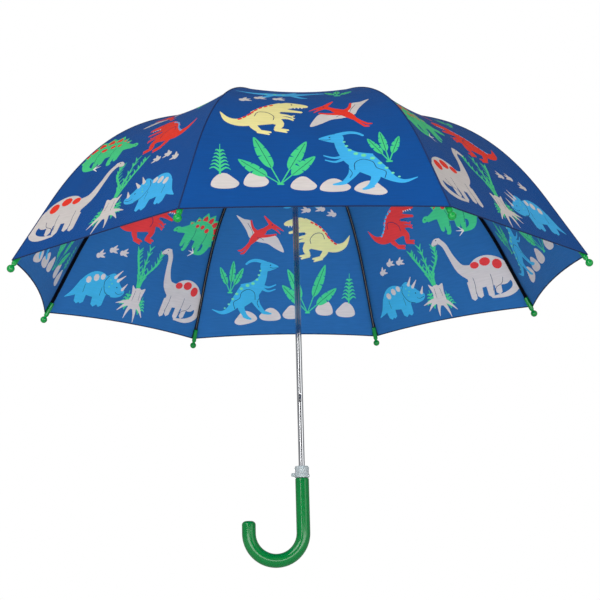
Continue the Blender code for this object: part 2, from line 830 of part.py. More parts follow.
def make_collar():
    """The clear sleeve on top of the handle, with a small nub on its crook side."""
    low = HANDLE_TOP + GAP
    high = low + COLLAR_HEIGHT
    profile = [
        (BORE_RADIUS, high),
        (COLLAR_RADIUS - COLLAR_EDGE, high),
        (COLLAR_RADIUS, high - COLLAR_EDGE),
        (COLLAR_RADIUS, low + COLLAR_FOOT_EDGE),
        (COLLAR_RADIUS - COLLAR_FOOT_EDGE, low),
        (BORE_RADIUS, low),
    ]
    collar = turned("handle_collar", profile)
    nub_start = BORE_RADIUS + COLLAR_EDGE
    nub = disc(Vector((0, 0)), NUB_RADIUS, nub_start, COLLAR_RADIUS + NUB_REACH, 12)
    nub.data.transform(Matrix.Rotation(math.radians(90), 4, "Z"))
    nub.data.transform(Matrix.Translation(Vector((0, 0, low + NUB_HEIGHT))))
    combine(collar, [nub], "UNION")
    return tidy(collar, CLEAR)


# ---- The umbrella ----


def make_frame():
    make_shaft()
    make_handle()
    make_collar()
    make_top_notch()
    make_wire("notch_wire", CROWN_PIVOT.y)
    make_crown_cap()
    make_ferrule()
    make_runner()
    make_wire("runner_wire", RUNNER_PIVOT.y)
    make_catch("top_catch", TOP_CATCH_HEIGHT, 1)
    make_catch("bottom_catch", BOTTOM_CATCH_HEIGHT, -1)


def make_canopy():
    hem = radius_before_tip(HEM_SHORT)
    upper = draw_gore(spaced(GORE_INNER, FLEX_RADIUS - GAP, 7), GORE_PIVOT)
    lower = draw_gore(spaced(FLEX_RADIUS + GAP, hem, 8), GORE_FLEX, 5, HEM_HOLLOW)
    strap = draw_strap()
    inner, outer, stretcher, tip = draw_rib_inner(), draw_rib_outer(), draw_stretcher(), draw_tip()
    rear = 1 + RIB_COUNT // 2
    for k in range(1, RIB_COUNT + 1):
        place(inner, f"rib_{k}_inner", CROWN_PIVOT, rib_azimuth(k))
        place(outer, f"rib_{k}_outer", FLEX, rib_azimuth(k))
        place(tip, f"tip_{k}", FLEX, rib_azimuth(k))
        place(stretcher, f"stretcher_{k}", RIVET, rib_azimuth(k))
        place(upper, f"gore_{k}_upper", GORE_PIVOT, gore_azimuth(k))
        place(lower, f"gore_{k}_lower", GORE_FLEX, gore_azimuth(k))
    place(strap, "closure_strap", GORE_FLEX, gore_azimuth(rear))
    for drawn in (upper, lower, strap, inner, outer, stretcher, tip):
        bpy.data.objects.remove(drawn)


make_frame()
make_canopy()
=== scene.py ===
"""The looks of a children's umbrella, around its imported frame: printed fabric gores, seams, ribs,
a chromed shaft and glossy plastic fittings. Metres, +Z up along the shaft."""

import math

import bmesh
import bpy
import numpy as np
from mathutils import Matrix, Vector
from mathutils.geometry import delaunay_2d_cdt


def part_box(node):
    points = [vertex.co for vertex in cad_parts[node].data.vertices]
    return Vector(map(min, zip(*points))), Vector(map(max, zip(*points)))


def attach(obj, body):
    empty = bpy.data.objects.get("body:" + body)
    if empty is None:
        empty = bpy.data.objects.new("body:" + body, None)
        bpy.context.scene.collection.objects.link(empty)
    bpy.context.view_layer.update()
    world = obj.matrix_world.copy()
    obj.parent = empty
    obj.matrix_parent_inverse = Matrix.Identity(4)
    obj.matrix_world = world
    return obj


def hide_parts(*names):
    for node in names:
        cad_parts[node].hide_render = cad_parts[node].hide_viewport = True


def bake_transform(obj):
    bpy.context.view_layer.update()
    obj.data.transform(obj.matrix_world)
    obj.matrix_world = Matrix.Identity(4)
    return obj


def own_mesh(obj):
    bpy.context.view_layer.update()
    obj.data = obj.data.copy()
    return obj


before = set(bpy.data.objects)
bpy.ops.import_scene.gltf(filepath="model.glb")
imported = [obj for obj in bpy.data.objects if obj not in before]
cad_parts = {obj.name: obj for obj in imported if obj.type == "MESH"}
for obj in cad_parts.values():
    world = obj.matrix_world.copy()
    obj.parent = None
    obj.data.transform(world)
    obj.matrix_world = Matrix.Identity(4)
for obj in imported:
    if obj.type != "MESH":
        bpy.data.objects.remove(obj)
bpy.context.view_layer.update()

MM = 0.001

# The dome, as the frame's ribs have it
RIB_COUNT = 8
FIRST_RIB_AZIMUTH = math.radians(-112.5)
HALF_GORE = math.pi / RIB_COUNT
TIP_RADIUS = 0.36
TIP_HEIGHT = 0.2625
DOME_RISE = 0.2165
DOME_POWER = 3.9
CROWN_PEAK = 0.012
STRAIGHT_FROM = 0.868
FLEX_RADIUS = 0.2232
FABRIC_OFFSET = 0.0040
GORE_INNER = 0.0105
HEM_SHORT = 0.009
HEM_HOLLOW = 0.0065

# Fabric
SAG = 0.0065
SAG_REACH = 0.80
SAG_POWER = 0.8
CLOTH = 0.0003
EDGE_GAP = 0.0002
FLAP = 0.009
FLAP_INSET = 0.0009
GRID = 0.0065
FURLED_UPPER = 0.145
FURLED_LOWER = 0.104

# Seams and hem
RIDGE_HALF = 0.0011
RIDGE_HEIGHT = 0.0006
ALLOWANCE = 0.0015
POCKET = 0.0048
CROWN_TAPE = 0.006
HEM_ROLL = 0.0008

# Ribs, tips and what else is turned finer than in the frame
RIB_WIDTH = 0.0032
RIB_LOW = -0.0008
RIB_HIGH = 0.0018
RIB_WALL = 0.0006
RIB_BEAD = 0.0004
BALL_RADIUS = 0.0045
NECK_RADIUS = 0.0021
SLEEVE_RADIUS = 0.0031
SLEEVE_END = 0.025
STRETCHER_LENGTH = 0.170
RIVET_RADIUS = 0.0013
RIVET_DOME = 0.0006
RIVET_REACH = 0.0031
SHAFT_RADIUS = 0.00375
SHAFT_WALL = 0.0007
BORE = SHAFT_RADIUS + 0.00035
SLOT_HALF_WIDTH = 0.00095
SLOT_MARGIN = 0.0006
CAP_THICKNESS = 0.0013
FERRULE_RADIUS = 0.0056
FERRULE_FOOT = 0.0078
FERRULE_TOP = 0.0022
FERRULE_HOLE = 0.012
HANDLE_RADIUS = 0.0083
HANDLE_END = 0.0045
GRIP_LENGTH = 0.065
CROOK_RADIUS = 0.0327
SHORT_LEG = 0.015
COLLAR_RADIUS = 0.0091
COLLAR_BEAD = 0.0035
NUB_RADIUS = 0.0022
CROWN_RING = 0.0099
STRAP_WIDTH = 0.016
STRAP_ABOVE_HEM = 0.028
STRAP_LENGTH = 0.080
SNAP_RADIUS = 0.0050
SNAP_PLACE = 0.010

# Room
FLOOR_HALF = 6.0
FLOOR_LEVEL = -0.25
WORLD_LIGHT = 0.50


# ---- The dome ----


def dome_fall(u):
    """How far the dome has come down at a share of its radius. The ribs end straight."""
    if u < STRAIGHT_FROM:
        return u**DOME_POWER
    slope = DOME_POWER * STRAIGHT_FROM ** (DOME_POWER - 1)
    return STRAIGHT_FROM**DOME_POWER + slope * (u - STRAIGHT_FROM)


def rib_height(r):
    u = r / TIP_RADIUS
    return TIP_HEIGHT + DOME_RISE * (1 - dome_fall(u) / dome_fall(1)) + CROWN_PEAK * (1 - u) ** 3


def rib_frame(r):
    """A point of the rib's centreline in its own plane, and the normal there."""
    step = 1e-5
    slope = (rib_height(r + step) - rib_height(r - step)) / (2 * step)
    return Vector((r, rib_height(r))), Vector((-slope, 1)).normalized()


def radius_before_tip(length):
    """The radius where the centreline is this far in a straight line from the tip."""
    low, high = FLEX_RADIUS, TIP_RADIUS
    tip = rib_frame(TIP_RADIUS)[0]
    for _ in range(50):
        middle = (low + high) / 2
        if (rib_frame(middle)[0] - tip).length > length:
            low = middle
        else:
            high = middle
    return low


def rib_azimuth(k):
    return FIRST_RIB_AZIMUTH + 2 * HALF_GORE * (k - 1)


def gore_azimuth(k):
    return rib_azimuth(k) + HALF_GORE


def meridian():
    """The middle line of a gore as it leaves the rib's fabric: its arc, radius, height and normal,
    from the crown to the level of the hem's corners."""
    radii = np.linspace(GORE_INNER, radius_before_tip(HEM_SHORT), 500)
    points = []
    for r in radii:
        center, normal = rib_frame(float(r))
        points.append(center + normal * FABRIC_OFFSET)
    xs = np.array([p.x for p in points]) * math.cos(HALF_GORE)
    zs = np.array([p.y for p in points])
    arc = np.concatenate([[0], np.cumsum(np.hypot(np.diff(xs), np.diff(zs)))])
    along_x, along_z = np.gradient(xs, arc), np.gradient(zs, arc)
    return radii, arc, xs, zs, -along_z, along_x


RADII, ARC, LINE_X, LINE_Z, NORMAL_X, NORMAL_Z = meridian()
LENGTH = float(ARC[-1])
FLEX_LINE = LENGTH - float(np.interp(FLEX_RADIUS, RADII, ARC))


def half_width(v):
    """Half the gore's width at the distance v up from its hem's corners."""
    return np.interp(LENGTH - v, ARC, LINE_X) * math.tan(HALF_GORE)


def hem_at(x):
    """How far up the gore its hem is drawn in at x."""
    return HEM_HOLLOW * (1 - (x / half_width(0.0)) ** 2)


def on_gore(x, v, inset=0.0):
    """Flat places on a gore, x across and v up from the hem, as points in space. X leads outwards
    and Y across. The fabric sinks between the ribs."""
    x, v = np.asarray(x, float), np.asarray(v, float)
    arc = np.clip(LENGTH - v, 0, LENGTH)
    share = arc / LENGTH
    wave = np.sin(math.pi * SAG_REACH * np.clip(share, 1e-6, 1)) ** SAG_POWER
    sag = SAG * wave * np.clip(1 - (x / half_width(v)) ** 2, 0, 1) + inset
    out = np.interp(arc, ARC, LINE_X) - np.interp(arc, ARC, NORMAL_X) * sag
    up = np.interp(arc, ARC, LINE_Z) - np.interp(arc, ARC, NORMAL_Z) * sag
    return np.stack([out, x, up], -1)


def gore_normals(x, v):
    """The outward unit normals of the fabric at flat places."""
    step = 0.0008
    across = on_gore(x + step, v) - on_gore(x - step, v)
    along = on_gore(x, v + step) - on_gore(x, np.maximum(v - step, 0))
    normal = np.cross(along, across)
    normal *= -np.sign(normal[..., 2:3] + 1e-12)
    return -normal / np.linalg.norm(normal, axis=-1, keepdims=True)


def turn(points, azimuth):
    c, s = math.cos(azimuth), math.sin(azimuth)
    points = np.asarray(points, float)
    x, y = points[..., 0], points[..., 1]
    return np.stack([x * c - y * s, x * s + y * c, points[..., 2]], -1)


# ---- Materials ----


class Graph:
    """A node tree, with short calls for the nodes that the looks share."""

    def __init__(self, tree):
        self.tree = tree

    def add(self, kind, inputs=None, **settings):
        node = self.tree.nodes.new(kind)
        for key, value in settings.items():
            setattr(node, key, value)
        for key, value in (inputs or {}).items():
            if isinstance(value, bpy.types.NodeSocket):
                self.tree.links.new(value, node.inputs[key])
            else:
                node.inputs[key].default_value = value
        return node

    def math(self, operation, a, b):
        return self.add("ShaderNodeMath", {0: a, 1: b}, operation=operation).outputs[0]

    def spread(self, value, low, high):
        """A value from 0 to 1 as one between low and high."""
        return self.add("ShaderNodeMapRange", {0: value, 3: low, 4: high}).outputs[0]

    def noise(self, scale, detail=3.0, vector=None, stretch=None):
        place = vector or self.add("ShaderNodeTexCoord").outputs["Object"]
        if stretch:
            place = self.add("ShaderNodeMapping", {"Vector": place, "Scale": stretch}).outputs[0]
        made = self.add("ShaderNodeTexNoise", {"Vector": place, "Scale": scale, "Detail": detail})
        return made.outputs[0]

    def shade(self, color, value, low, high):
        """A colour made darker and lighter by a value from 0 to 1."""
        factor = self.spread(value, low, high)
        mixed = self.add("ShaderNodeVectorMath", {0: color[:3], 3: factor}, operation="SCALE")
        return mixed.outputs[0]

    def bump(self, height, distance, strength=1.0, under=None):
        inputs = {"Height": height, "Distance": distance, "Strength": strength}
        if under:
            inputs["Normal"] = under
        return self.add("ShaderNodeBump", inputs).outputs[0]

    def ramp(self, value, stops):
        """The colour at a value, blended between places with a colour each."""
        node = self.add("ShaderNodeValToRGB", {0: value})
        elements = node.color_ramp.elements
        elements[0].color, elements[1].color = stops[0][1], stops[-1][1]
        for place, color in stops[1:-1]:
            elements.new(place).color = color
        return node.outputs[0]


class Nodes(Graph):
    """A material's nodes around its shader."""

    def __init__(self, name):
        self.material = bpy.data.materials.new(name)
        self.material.use_nodes = True
        super().__init__(self.material.node_tree)
        self.shader = self.tree.nodes["Principled BSDF"]

    def set(self, **values):
        for key, value in values.items():
            self.shader.inputs[key.replace("_", " ")].default_value = value

    def link(self, output, key):
        self.tree.links.new(output, self.shader.inputs[key])


def srgb(r, g, b):
    """A colour given as a screen shows it, from 0 to 255, in the linear values of a shader."""
    values = [c / 255 for c in (r, g, b)]
    return tuple(c / 12.92 if c <= 0.04045 else ((c + 0.055) / 1.055) ** 2.4 for c in values)


def cloth(name, color, rough=0.72, weave=1.0):
    """Plain-woven polyester: crossed threads, slubs along them and broad soft unevenness, which bumps the
    cloth and also darkens and lightens its colour as painted shade and light of soft wrinkles.
    """
    n = Nodes(name)
    flat = n.add("ShaderNodeUVMap", uv_map="flat").outputs[0]
    warp = n.add("ShaderNodeTexWave", {"Vector": flat, "Scale": 620.0, "Distortion": 0.3},
                 bands_direction="X").outputs[0]
    weft = n.add("ShaderNodeTexWave", {"Vector": flat, "Scale": 540.0, "Distortion": 0.3},
                 bands_direction="Y").outputs[0]
    slub = n.noise(420.0, 2.0, flat, (0.12, 1.0, 1.0))
    broad = n.noise(22.0, 3.0)
    threads = n.math("ADD", n.math("MULTIPLY", warp, 0.5), n.math("MULTIPLY", weft, 0.5))
    tone = n.math("ADD", n.math("MULTIPLY", slub, 0.55), n.math("MULTIPLY", broad, 0.45))
    # Base colour: the slubs' own tone, plus painted shade and light of soft wrinkles from the broad noise.
    n.link(n.shade(color, tone, 0.80, 1.20), "Base Color")
    n.link(n.spread(broad, rough - 0.08, rough + 0.08), "Roughness")
    soft = n.bump(broad, 0.0016, 0.5)
    n.link(n.bump(threads, 0.00012 * weave, 0.8, soft), "Normal")
    n.set(Sheen_Weight=0.02, Sheen_Roughness=0.4, Specular_IOR_Level=0.12)
    return n.material


def stitched(name, color, thread, pitch=0.0026, row=0.0):
    """A doubled strip of fabric with one row of stitches along it."""
    n = Nodes(name)
    flat = n.add("ShaderNodeUVMap", uv_map="flat").outputs[0]
    parts = n.add("ShaderNodeSeparateXYZ", {0: flat})
    place = n.math("FRACT", n.math("DIVIDE", parts.outputs[1], pitch), 0.0)
    dash = n.math("LESS_THAN", place, 0.68)
    off = n.math("ABSOLUTE", n.math("SUBTRACT", parts.outputs[0], row), 0.0)
    stitch = n.math("MULTIPLY", n.math("LESS_THAN", off, 0.00022), dash)
    weave = n.add("ShaderNodeTexWave", {"Vector": flat, "Scale": 560.0}, bands_direction="DIAGONAL")
    tone = n.shade(color, n.noise(260.0), 0.75, 1.25)
    mixed = n.add("ShaderNodeMix", {0: stitch, 6: tone, 7: (*thread, 1)}, data_type="RGBA")
    n.link(mixed.outputs[2], "Base Color")
    n.link(n.spread(n.noise(90.0), 0.62, 0.82), "Roughness")
    low = n.bump(weave.outputs[0], 0.0001, 0.7)
    n.link(n.bump(stitch, 0.0002, 0.9, low), "Normal")
    n.set(Specular_IOR_Level=0.3)
    return n.material


def plastic(name, color, rough, wear=0.04, coat=0.0, grain=0.00003):
    """Moulded plastic: a slightly uneven gloss, a faint orange peel and fine handling marks."""
    n = Nodes(name)
    peel = n.noise(240.0, 2.0)
    broad = n.noise(35.0, 4.0)
    marks = n.noise(120.0, 1.0, stretch=(1.0, 1.0, 0.15))
    n.link(n.shade(color, broad, 0.92, 1.08), "Base Color")
    uneven = n.math("MULTIPLY", broad, marks)
    n.link(n.spread(uneven, rough - wear / 2, rough + 2 * wear), "Roughness")
    n.link(n.bump(peel, grain, 0.6), "Normal")
    n.set(Coat_Weight=coat, Coat_Roughness=0.06, Specular_IOR_Level=0.36)
    return n.material


def metal(name, color, rough, stretch=(1.0, 1.0, 0.02), grain=0.000004, worn=0.12):
    """Drawn or plated metal: fine lines along the work, with the gloss broken by handling."""
    n = Nodes(name)
    lines = n.noise(300.0, 1.0, stretch=stretch)
    cloud = n.noise(60.0, 2.0)
    n.link(n.shade(color, cloud, 0.90, 1.06), "Base Color")
    mixed = n.math("ADD", n.math("MULTIPLY", lines, 0.4), n.math("MULTIPLY", cloud, 0.6))
    n.link(n.spread(mixed, max(rough - 0.04, 0.03), rough + worn), "Roughness")
    n.link(n.bump(lines, grain, 0.35), "Normal")
    n.set(Metallic=1.0)
    return n.material


NAVY = srgb(6, 72, 142)
PRINTS = {
    "ground": NAVY,
    "yellow": srgb(232, 222, 152),
    "red": srgb(228, 52, 34),
    "grey": srgb(204, 197, 194),
    "sky": srgb(60, 170, 226),
    "mint": srgb(110, 214, 160),
    "leaf": srgb(66, 198, 128),
    "line": srgb(16, 34, 82),
    "white": srgb(222, 220, 218),
}
NAMES = list(PRINTS)


def wrong_side_with_painted_light(color):
    """A printed colour on the fabric's wrong side: blended a little towards pale blue, then brightened as
    painted light that stands in for daylight coming through the cloth.
    """
    haze = srgb(46, 96, 156)
    return tuple(min(1.45 * (c * 0.90 + h * 0.10), 0.95) for c, h in zip(color, haze))


OUTSIDE = [cloth("print_" + key, PRINTS[key]) for key in NAMES]
# The wrong side's materials are brightened copies of the print's colours: painted light for daylight coming
# through the cloth.
INSIDE_WITH_PAINTED_LIGHT = [cloth("wrong_side_painted_light_ground", srgb(46, 114, 184), 0.8)]
INSIDE_WITH_PAINTED_LIGHT += [cloth("wrong_side_painted_light_" + key, wrong_side_with_painted_light(PRINTS[key]), 0.8) for key in NAMES[1:]]
BINDING = stitched("binding", srgb(6, 30, 72), srgb(30, 66, 124))
SEAM = stitched("seam", srgb(6, 40, 92), srgb(20, 62, 122))
# The seam tape inside is a real doubled strip; its near-black colour is partly painted shade beside and
# under the rib.
TAPE_AND_SHADE = stitched("tape", srgb(12, 20, 44), srgb(60, 84, 130), row=0.0026)
STRAP = stitched("strap_cloth", srgb(24, 62, 132), srgb(52, 92, 160), row=0.0062)
GREEN = plastic("green_gloss", srgb(0, 120, 54), 0.10, wear=0.02, coat=0.1, grain=0.000008)
TIP_GREEN = plastic("green_tip", srgb(0, 146, 60), 0.10, wear=0.02, coat=0.1, grain=0.000008)
BLACK = plastic("black_nylon", (0.014, 0.014, 0.016), 0.38, grain=0.00006)
CHROME = metal("chrome_plate", (0.70, 0.71, 0.73), 0.06, worn=0.05)
WIRE = metal("steel_wire", (0.55, 0.56, 0.58), 0.26)
RIB_BLACK = metal("rib_black", (0.018, 0.019, 0.024), 0.34, worn=0.2)
RIB_LINE = metal("rib_floor", (0.46, 0.47, 0.50), 0.38)
RIVET_STEEL = metal("rivet_steel", (0.5, 0.51, 0.53), 0.22)
# A near-black plate colour, painted shade of the open slot in the hollow shaft.
SLOT_PAINTED_SHADE = plastic("slot_painted_shade", (0.004, 0.004, 0.005), 0.6)


def make_clear():
    """Milky clear plastic, which shows a little of what it covers."""
    n = Nodes("milky_clear")
    cloud = n.noise(160.0, 3.0)
    n.link(n.shade(srgb(214, 224, 226), cloud, 0.94, 1.04), "Base Color")
    n.link(n.spread(cloud, 0.16, 0.3), "Roughness")
    n.link(n.bump(n.noise(700.0), 0.00003, 0.5), "Normal")
    n.set(Transmission_Weight=0.45, IOR=1.46, Subsurface_Weight=0.2)
    n.shader.inputs["Subsurface Radius"].default_value = (0.003, 0.003, 0.003)
    return n.material


CLEAR = make_clear()


# ---- The print: own simple shapes, in millimetres ----


def smooth(points, closed=True, steps=4):
    """A round curve through the points."""
    count = len(points)
    made = []
    for i in range(count if closed else count - 1):
        if closed:
            a, b, c, d = (points[(i + j - 1) % count] for j in range(4))
        else:
            a, b = points[max(i - 1, 0)], points[i]
            c, d = points[i + 1], points[min(i + 2, count - 1)]
        for step in range(steps):
            t = step / steps
            made.append(tuple(
                0.5 * (2 * q + (r - p) * t + (2 * p - 5 * q + 4 * r - s) * t * t
                       + (3 * q - p - 3 * r + s) * t**3)
                for p, q, r, s in zip(a, b, c, d)
            ))
    if not closed:
        made.append(tuple(points[-1]))
    return made


def blob(color, *points):
    return [(color, smooth(points))]


def flat_shape(color, *points):
    return [(color, list(points))]


def stroke(color, points, widths, steps=4):
    """A line that swells and narrows, round at both ends."""
    spots = smooth([(*p, w) for p, w in zip(points, widths)], closed=False, steps=steps)
    left, right = [], []
    for i, (x, y, w) in enumerate(spots):
        before, after = spots[max(i - 1, 0)], spots[min(i + 1, len(spots) - 1)]
        dx, dy = after[0] - before[0], after[1] - before[1]
        size = math.hypot(dx, dy) or 1.0
        nx, ny = -dy / size * w / 2, dx / size * w / 2
        left.append((x + nx, y + ny))
        right.append((x - nx, y - ny))
    ends = []
    for index in (-1, 0):
        x, y, w = spots[index]
        other = spots[index - 1] if index else spots[1]
        dx, dy = x - other[0], y - other[1]
        size = math.hypot(dx, dy) or 1.0
        ends.append((x + dx / size * w * 0.35, y + dy / size * w * 0.35))
    return [(color, left + [ends[0]] + right[::-1] + [ends[1]])]


def spot(color, x, y, radius, tall=1.0, sides=9):
    angles = [2 * math.pi * i / sides for i in range(sides)]
    return [(color, [(x + radius * math.cos(a), y + radius * tall * math.sin(a)) for a in angles])]


def line(*points, width=0.8):
    return stroke("line", points, [width] * len(points), steps=3)


def placed(shapes, x, y, scale=1.0, turned=0.0, flip=False, tall=1.0):
    c, s = math.cos(math.radians(turned)), math.sin(math.radians(turned))
    side = -1 if flip else 1
    made = []
    for color, outline in shapes:
        points = [(side * px * scale, py * scale * tall) for px, py in outline]
        made.append((color, [(x + px * c - py * s, y + px * s + py * c) for px, py in points]))
    return made


def tyrant(color, marks):
    """A big-headed dinosaur that walks on two legs, facing right, about its hip."""
    shapes = stroke(color, [(2, 0), (-18, -8), (-33, -13), (-45, -9), (-52, 3)], [27, 19, 12, 8, 1])
    shapes += stroke(color, [(-8, -2), (1, 9), (8, 19), (17, 26)], [29, 26, 17, 12])
    shapes += blob(color, (10, 16), (12, 27), (20, 32), (29, 31), (41, 27), (45, 23), (42, 20), (31, 20),
                   (22, 17), (16, 13))
    shapes += stroke(color, [(11, 16), (23, 13), (37, 10)], [12, 6, 3.4])
    for hip, knee, heel in (((-12, -5), (-17, -16), (-11, -25)), ((4, -3), (12, -13), (8, -21))):
        shapes += stroke(color, [hip, knee, heel], [17, 10, 6])
        for reach, drop in ((13, 0), (11, -3.5)):
            toe = (heel[0] + reach, heel[1] - 2 + drop)
            shapes += stroke(color, [(heel[0] - 1, heel[1] - 1), toe], [6, 2.2], steps=3)
    for drop in (0, 5):
        shapes += stroke(color, [(11, 4 - drop), (21, 3 - drop), (27, -1 - drop)], [6, 3.6, 2])
        shapes += stroke(color, [(24, 1 - drop), (29, 3 - drop)], [2.4, 1.2], steps=2)
    shapes += line((-15, 0), (-11, 8), (-1, 8), (6, 1), (5, -6))
    shapes += line((12, 8), (17, 9), (22, 6), width=0.6)
    for x, y, lean in ((-31, -7, 30), (-26, -3, 40), (-21, 2, 50), (-17, 7, 50), (-13, 12, 45),
                       (-8, 17, 40), (-2, 21, 35), (4, 24, 30)):
        dash = stroke(marks, [(-2.1, 0), (2.1, 0)], [2.2, 2.2], steps=2)
        shapes += placed(dash, x, y, turned=lean)
    shapes += spot("line", 27, 27.5, 1.2)
    for x in (26, 30, 34, 38):
        shapes += flat_shape("white", (x - 1.2, 20.2), (x + 1.2, 20.4), (x, 17.4))
    return shapes


def flyer():
    """A crested flying reptile with both wings spread, facing left, about its shoulders."""
    shapes = blob("grey", (2, -3), (-12, -3), (-24, -3), (-31, -12), (-37, -26), (-24, -21), (-12, -14),
                  (0, -12), (8, -9))
    shapes += blob("grey", (6, 3), (11, 10), (14, 19), (24, 21), (35, 26), (27, 15), (20, 4), (16, -5),
                   (10, -6))
    shapes += stroke("red", [(0, -3), (-12, -3), (-25, -1)], [6, 3.6, 2.6])
    shapes += stroke("red", [(3, 1), (10, 8), (13, 19)], [7, 4, 2.6])
    shapes += stroke("red", [(-8, 5), (1, 0), (9, -7), (14, -13)], [8, 11, 10, 6])
    shapes += stroke("red", [(-4, 3), (-11, 8), (-18, 12)], [8, 6, 8])
    shapes += stroke("red", [(-17, 13), (-27, 9), (-36, 4)], [7, 3.4, 0.8])
    shapes += stroke("red", [(-18, 10), (-26, 5), (-31, 0)], [4, 2.4, 0.8])
    shapes += stroke("red", [(-18, 13), (-12, 20), (-7, 26)], [6, 4, 1.6])
    for lean in (0, -12):
        leg = stroke("red", [(0, 0), (9, -9), (17, -15)], [5, 3, 3], steps=3)
        leg += stroke("red", [(17, -15), (22, -15)], [3, 1.6], steps=2)
        shapes += placed(leg, 11, -9, turned=lean)
    shapes += line((-6, -9), (-1, -6), (4, -6), width=0.6)
    shapes += line((18, 15), (12, 5), (10, -2), width=0.6)
    return shapes + spot("line", -19, 13, 1.0)


def crested():
    """A duck-billed dinosaur with a long swept crest, facing left, about its hip."""
    shapes = stroke("sky", [(-6, -2), (-11, -15), (-19, -26)], [16, 9, 6])
    shapes += stroke("sky", [(-19, -27), (-26, -29), (-32, -30)], [6, 4.5, 2])
    shapes += line((-14, -6), (-11, -13), (-14, -20), width=0.7)
    shapes += stroke("sky", [(4, 2), (18, -10), (30, -23), (42, -28), (56, -23)], [30, 18, 9, 5, 0.8])
    shapes += stroke("sky", [(-22, 40), (-19, 25), (-9, 11), (5, 2)], [10, 12, 22, 32])
    shapes += blob("sky", (-43, 43), (-35, 48), (-25, 51), (-17, 48), (-17, 39), (-26, 36), (-36, 39))
    shapes += stroke("sky", [(-24, 49), (-12, 53), (-2, 52), (5, 47)], [6, 5, 4, 3])
    shapes += stroke("sky", [(5, -5), (13, -18), (8, -31)], [21, 11, 7])
    shapes += stroke("sky", [(8, -32), (3, -36), (-2, -38)], [8, 5, 2.4])
    shapes += stroke("sky", [(-17, 14), (-28, 11), (-39, 15)], [5, 3, 1.6])
    shapes += stroke("sky", [(-16, 11), (-27, 5), (-38, 8)], [5, 3, 1.6])
    shapes += line((-8, -8), (-7, 3), (2, 8), (12, 3), (15, -6), (24, -12), (22, -22))
    shapes += line((-42, 41.5), (-34, 41), (-30, 42.5), width=0.7)
    for x, y, size in ((-16, 37, 1.7), (-14, 30, 2), (-11, 23, 2.3), (-5, 17, 2.7), (3, 14, 3),
                       (12, 9, 2.8), (19, 1, 2.5), (25, -7, 2.2), (31, -15, 1.8), (37, -21, 1.5)):
        shapes += spot("mint", x, y, size, 0.8)
    return shapes + spot("line", -31, 45.5, 1.0)


def long_neck():
    """A long-necked dinosaur with its tail curled under it, facing right, about its body."""
    shapes = stroke("grey", [(-26, 4), (-39, -10), (-36, -24), (-20, -31), (3, -31)], [24, 15, 10, 7, 3])
    for x in (-12, 18):
        shapes += stroke("grey", [(x, -4), (x + 2, -26)], [12, 9], steps=3)
    shapes += blob("grey", (-36, -2), (-30, 18), (-10, 29), (12, 27), (29, 12), (31, -4), (20, -14),
                   (-2, -14), (-26, -16))
    shapes += stroke("grey", [(20, 8), (37, 18), (45, 38), (49, 56), (55, 65)], [26, 15, 9, 8, 8])
    shapes += stroke("grey", [(53, 65), (60, 65), (67, 61)], [9, 9, 5])
    for x in (0, 28):
        shapes += stroke("grey", [(x, -4), (x + 3, -28)], [13, 9], steps=3)
        shapes += line((x - 5, 2), (x - 5, -8), (x - 2, -22), width=0.7)
    shapes += line((-22, -6), (-18, -14), (-8, -18), (-4, -24), width=0.7)
    for x, y, wide, tall in ((-20, 14, 7.5, 0.95), (-3, 21, 8.5, 0.72), (14, 19, 7, 0.7)):
        shapes += placed(spot("red", 0, 0, wide, tall, 12), x, y, turned=35 if x < -10 else 0)
    shapes += line((66, 60), (61, 60), (58, 62), width=0.6)
    return shapes + spot("line", 59, 67, 1.0)


def horned():
    """A three-horned dinosaur on four legs, facing left, about its body."""
    shapes = stroke("sky", [(20, 0), (33, -13), (44, -21)], [20, 8, 0.8])
    for x in (-14, 17):
        shapes += stroke("sky", [(x, -4), (x, -23)], [12, 9], steps=3)
    shapes += blob("sky", (-24, -2), (-18, 15), (-2, 23), (14, 20), (27, 6), (26, -8), (10, -13),
                   (-12, -13))
    for x in (-4, 24):
        shapes += stroke("sky", [(x, -4), (x - 1, -24)], [12, 9], steps=3)
        shapes += line((x - 6, 2), (x - 6, -10), width=0.6)
    shapes += blob("sky", (-14, 20), (-24, 25), (-31, 19), (-40, 9), (-49, 2), (-44, -6), (-30, -9),
                   (-17, -4), (-10, 8))
    shapes += line((-16, 20), (-11, 10), (-17, -4), (-28, -8), width=0.8)
    shapes += line((-47, -1), (-39, -3), (-34, -1), width=0.6)
    for start, tip in (((-32, 15), (-43, 25)), ((-26, 19), (-35, 31)), ((-44, 4), (-50, 14))):
        shapes += stroke("grey", [start, tip], [5, 0.8], steps=3)
    for x, y, size in ((-6, 17, 4), (4, 14, 4.6), (15, 9, 4.4)):
        shapes += spot("grey", x, y, size, 1.15, 7)
    for x, y in ((-20, 15), (-24, 10), (-21, 5)):
        shapes += spot("mint", x, y, 1.0, sides=6)
    return shapes + spot("line", -34, 6, 1.0)


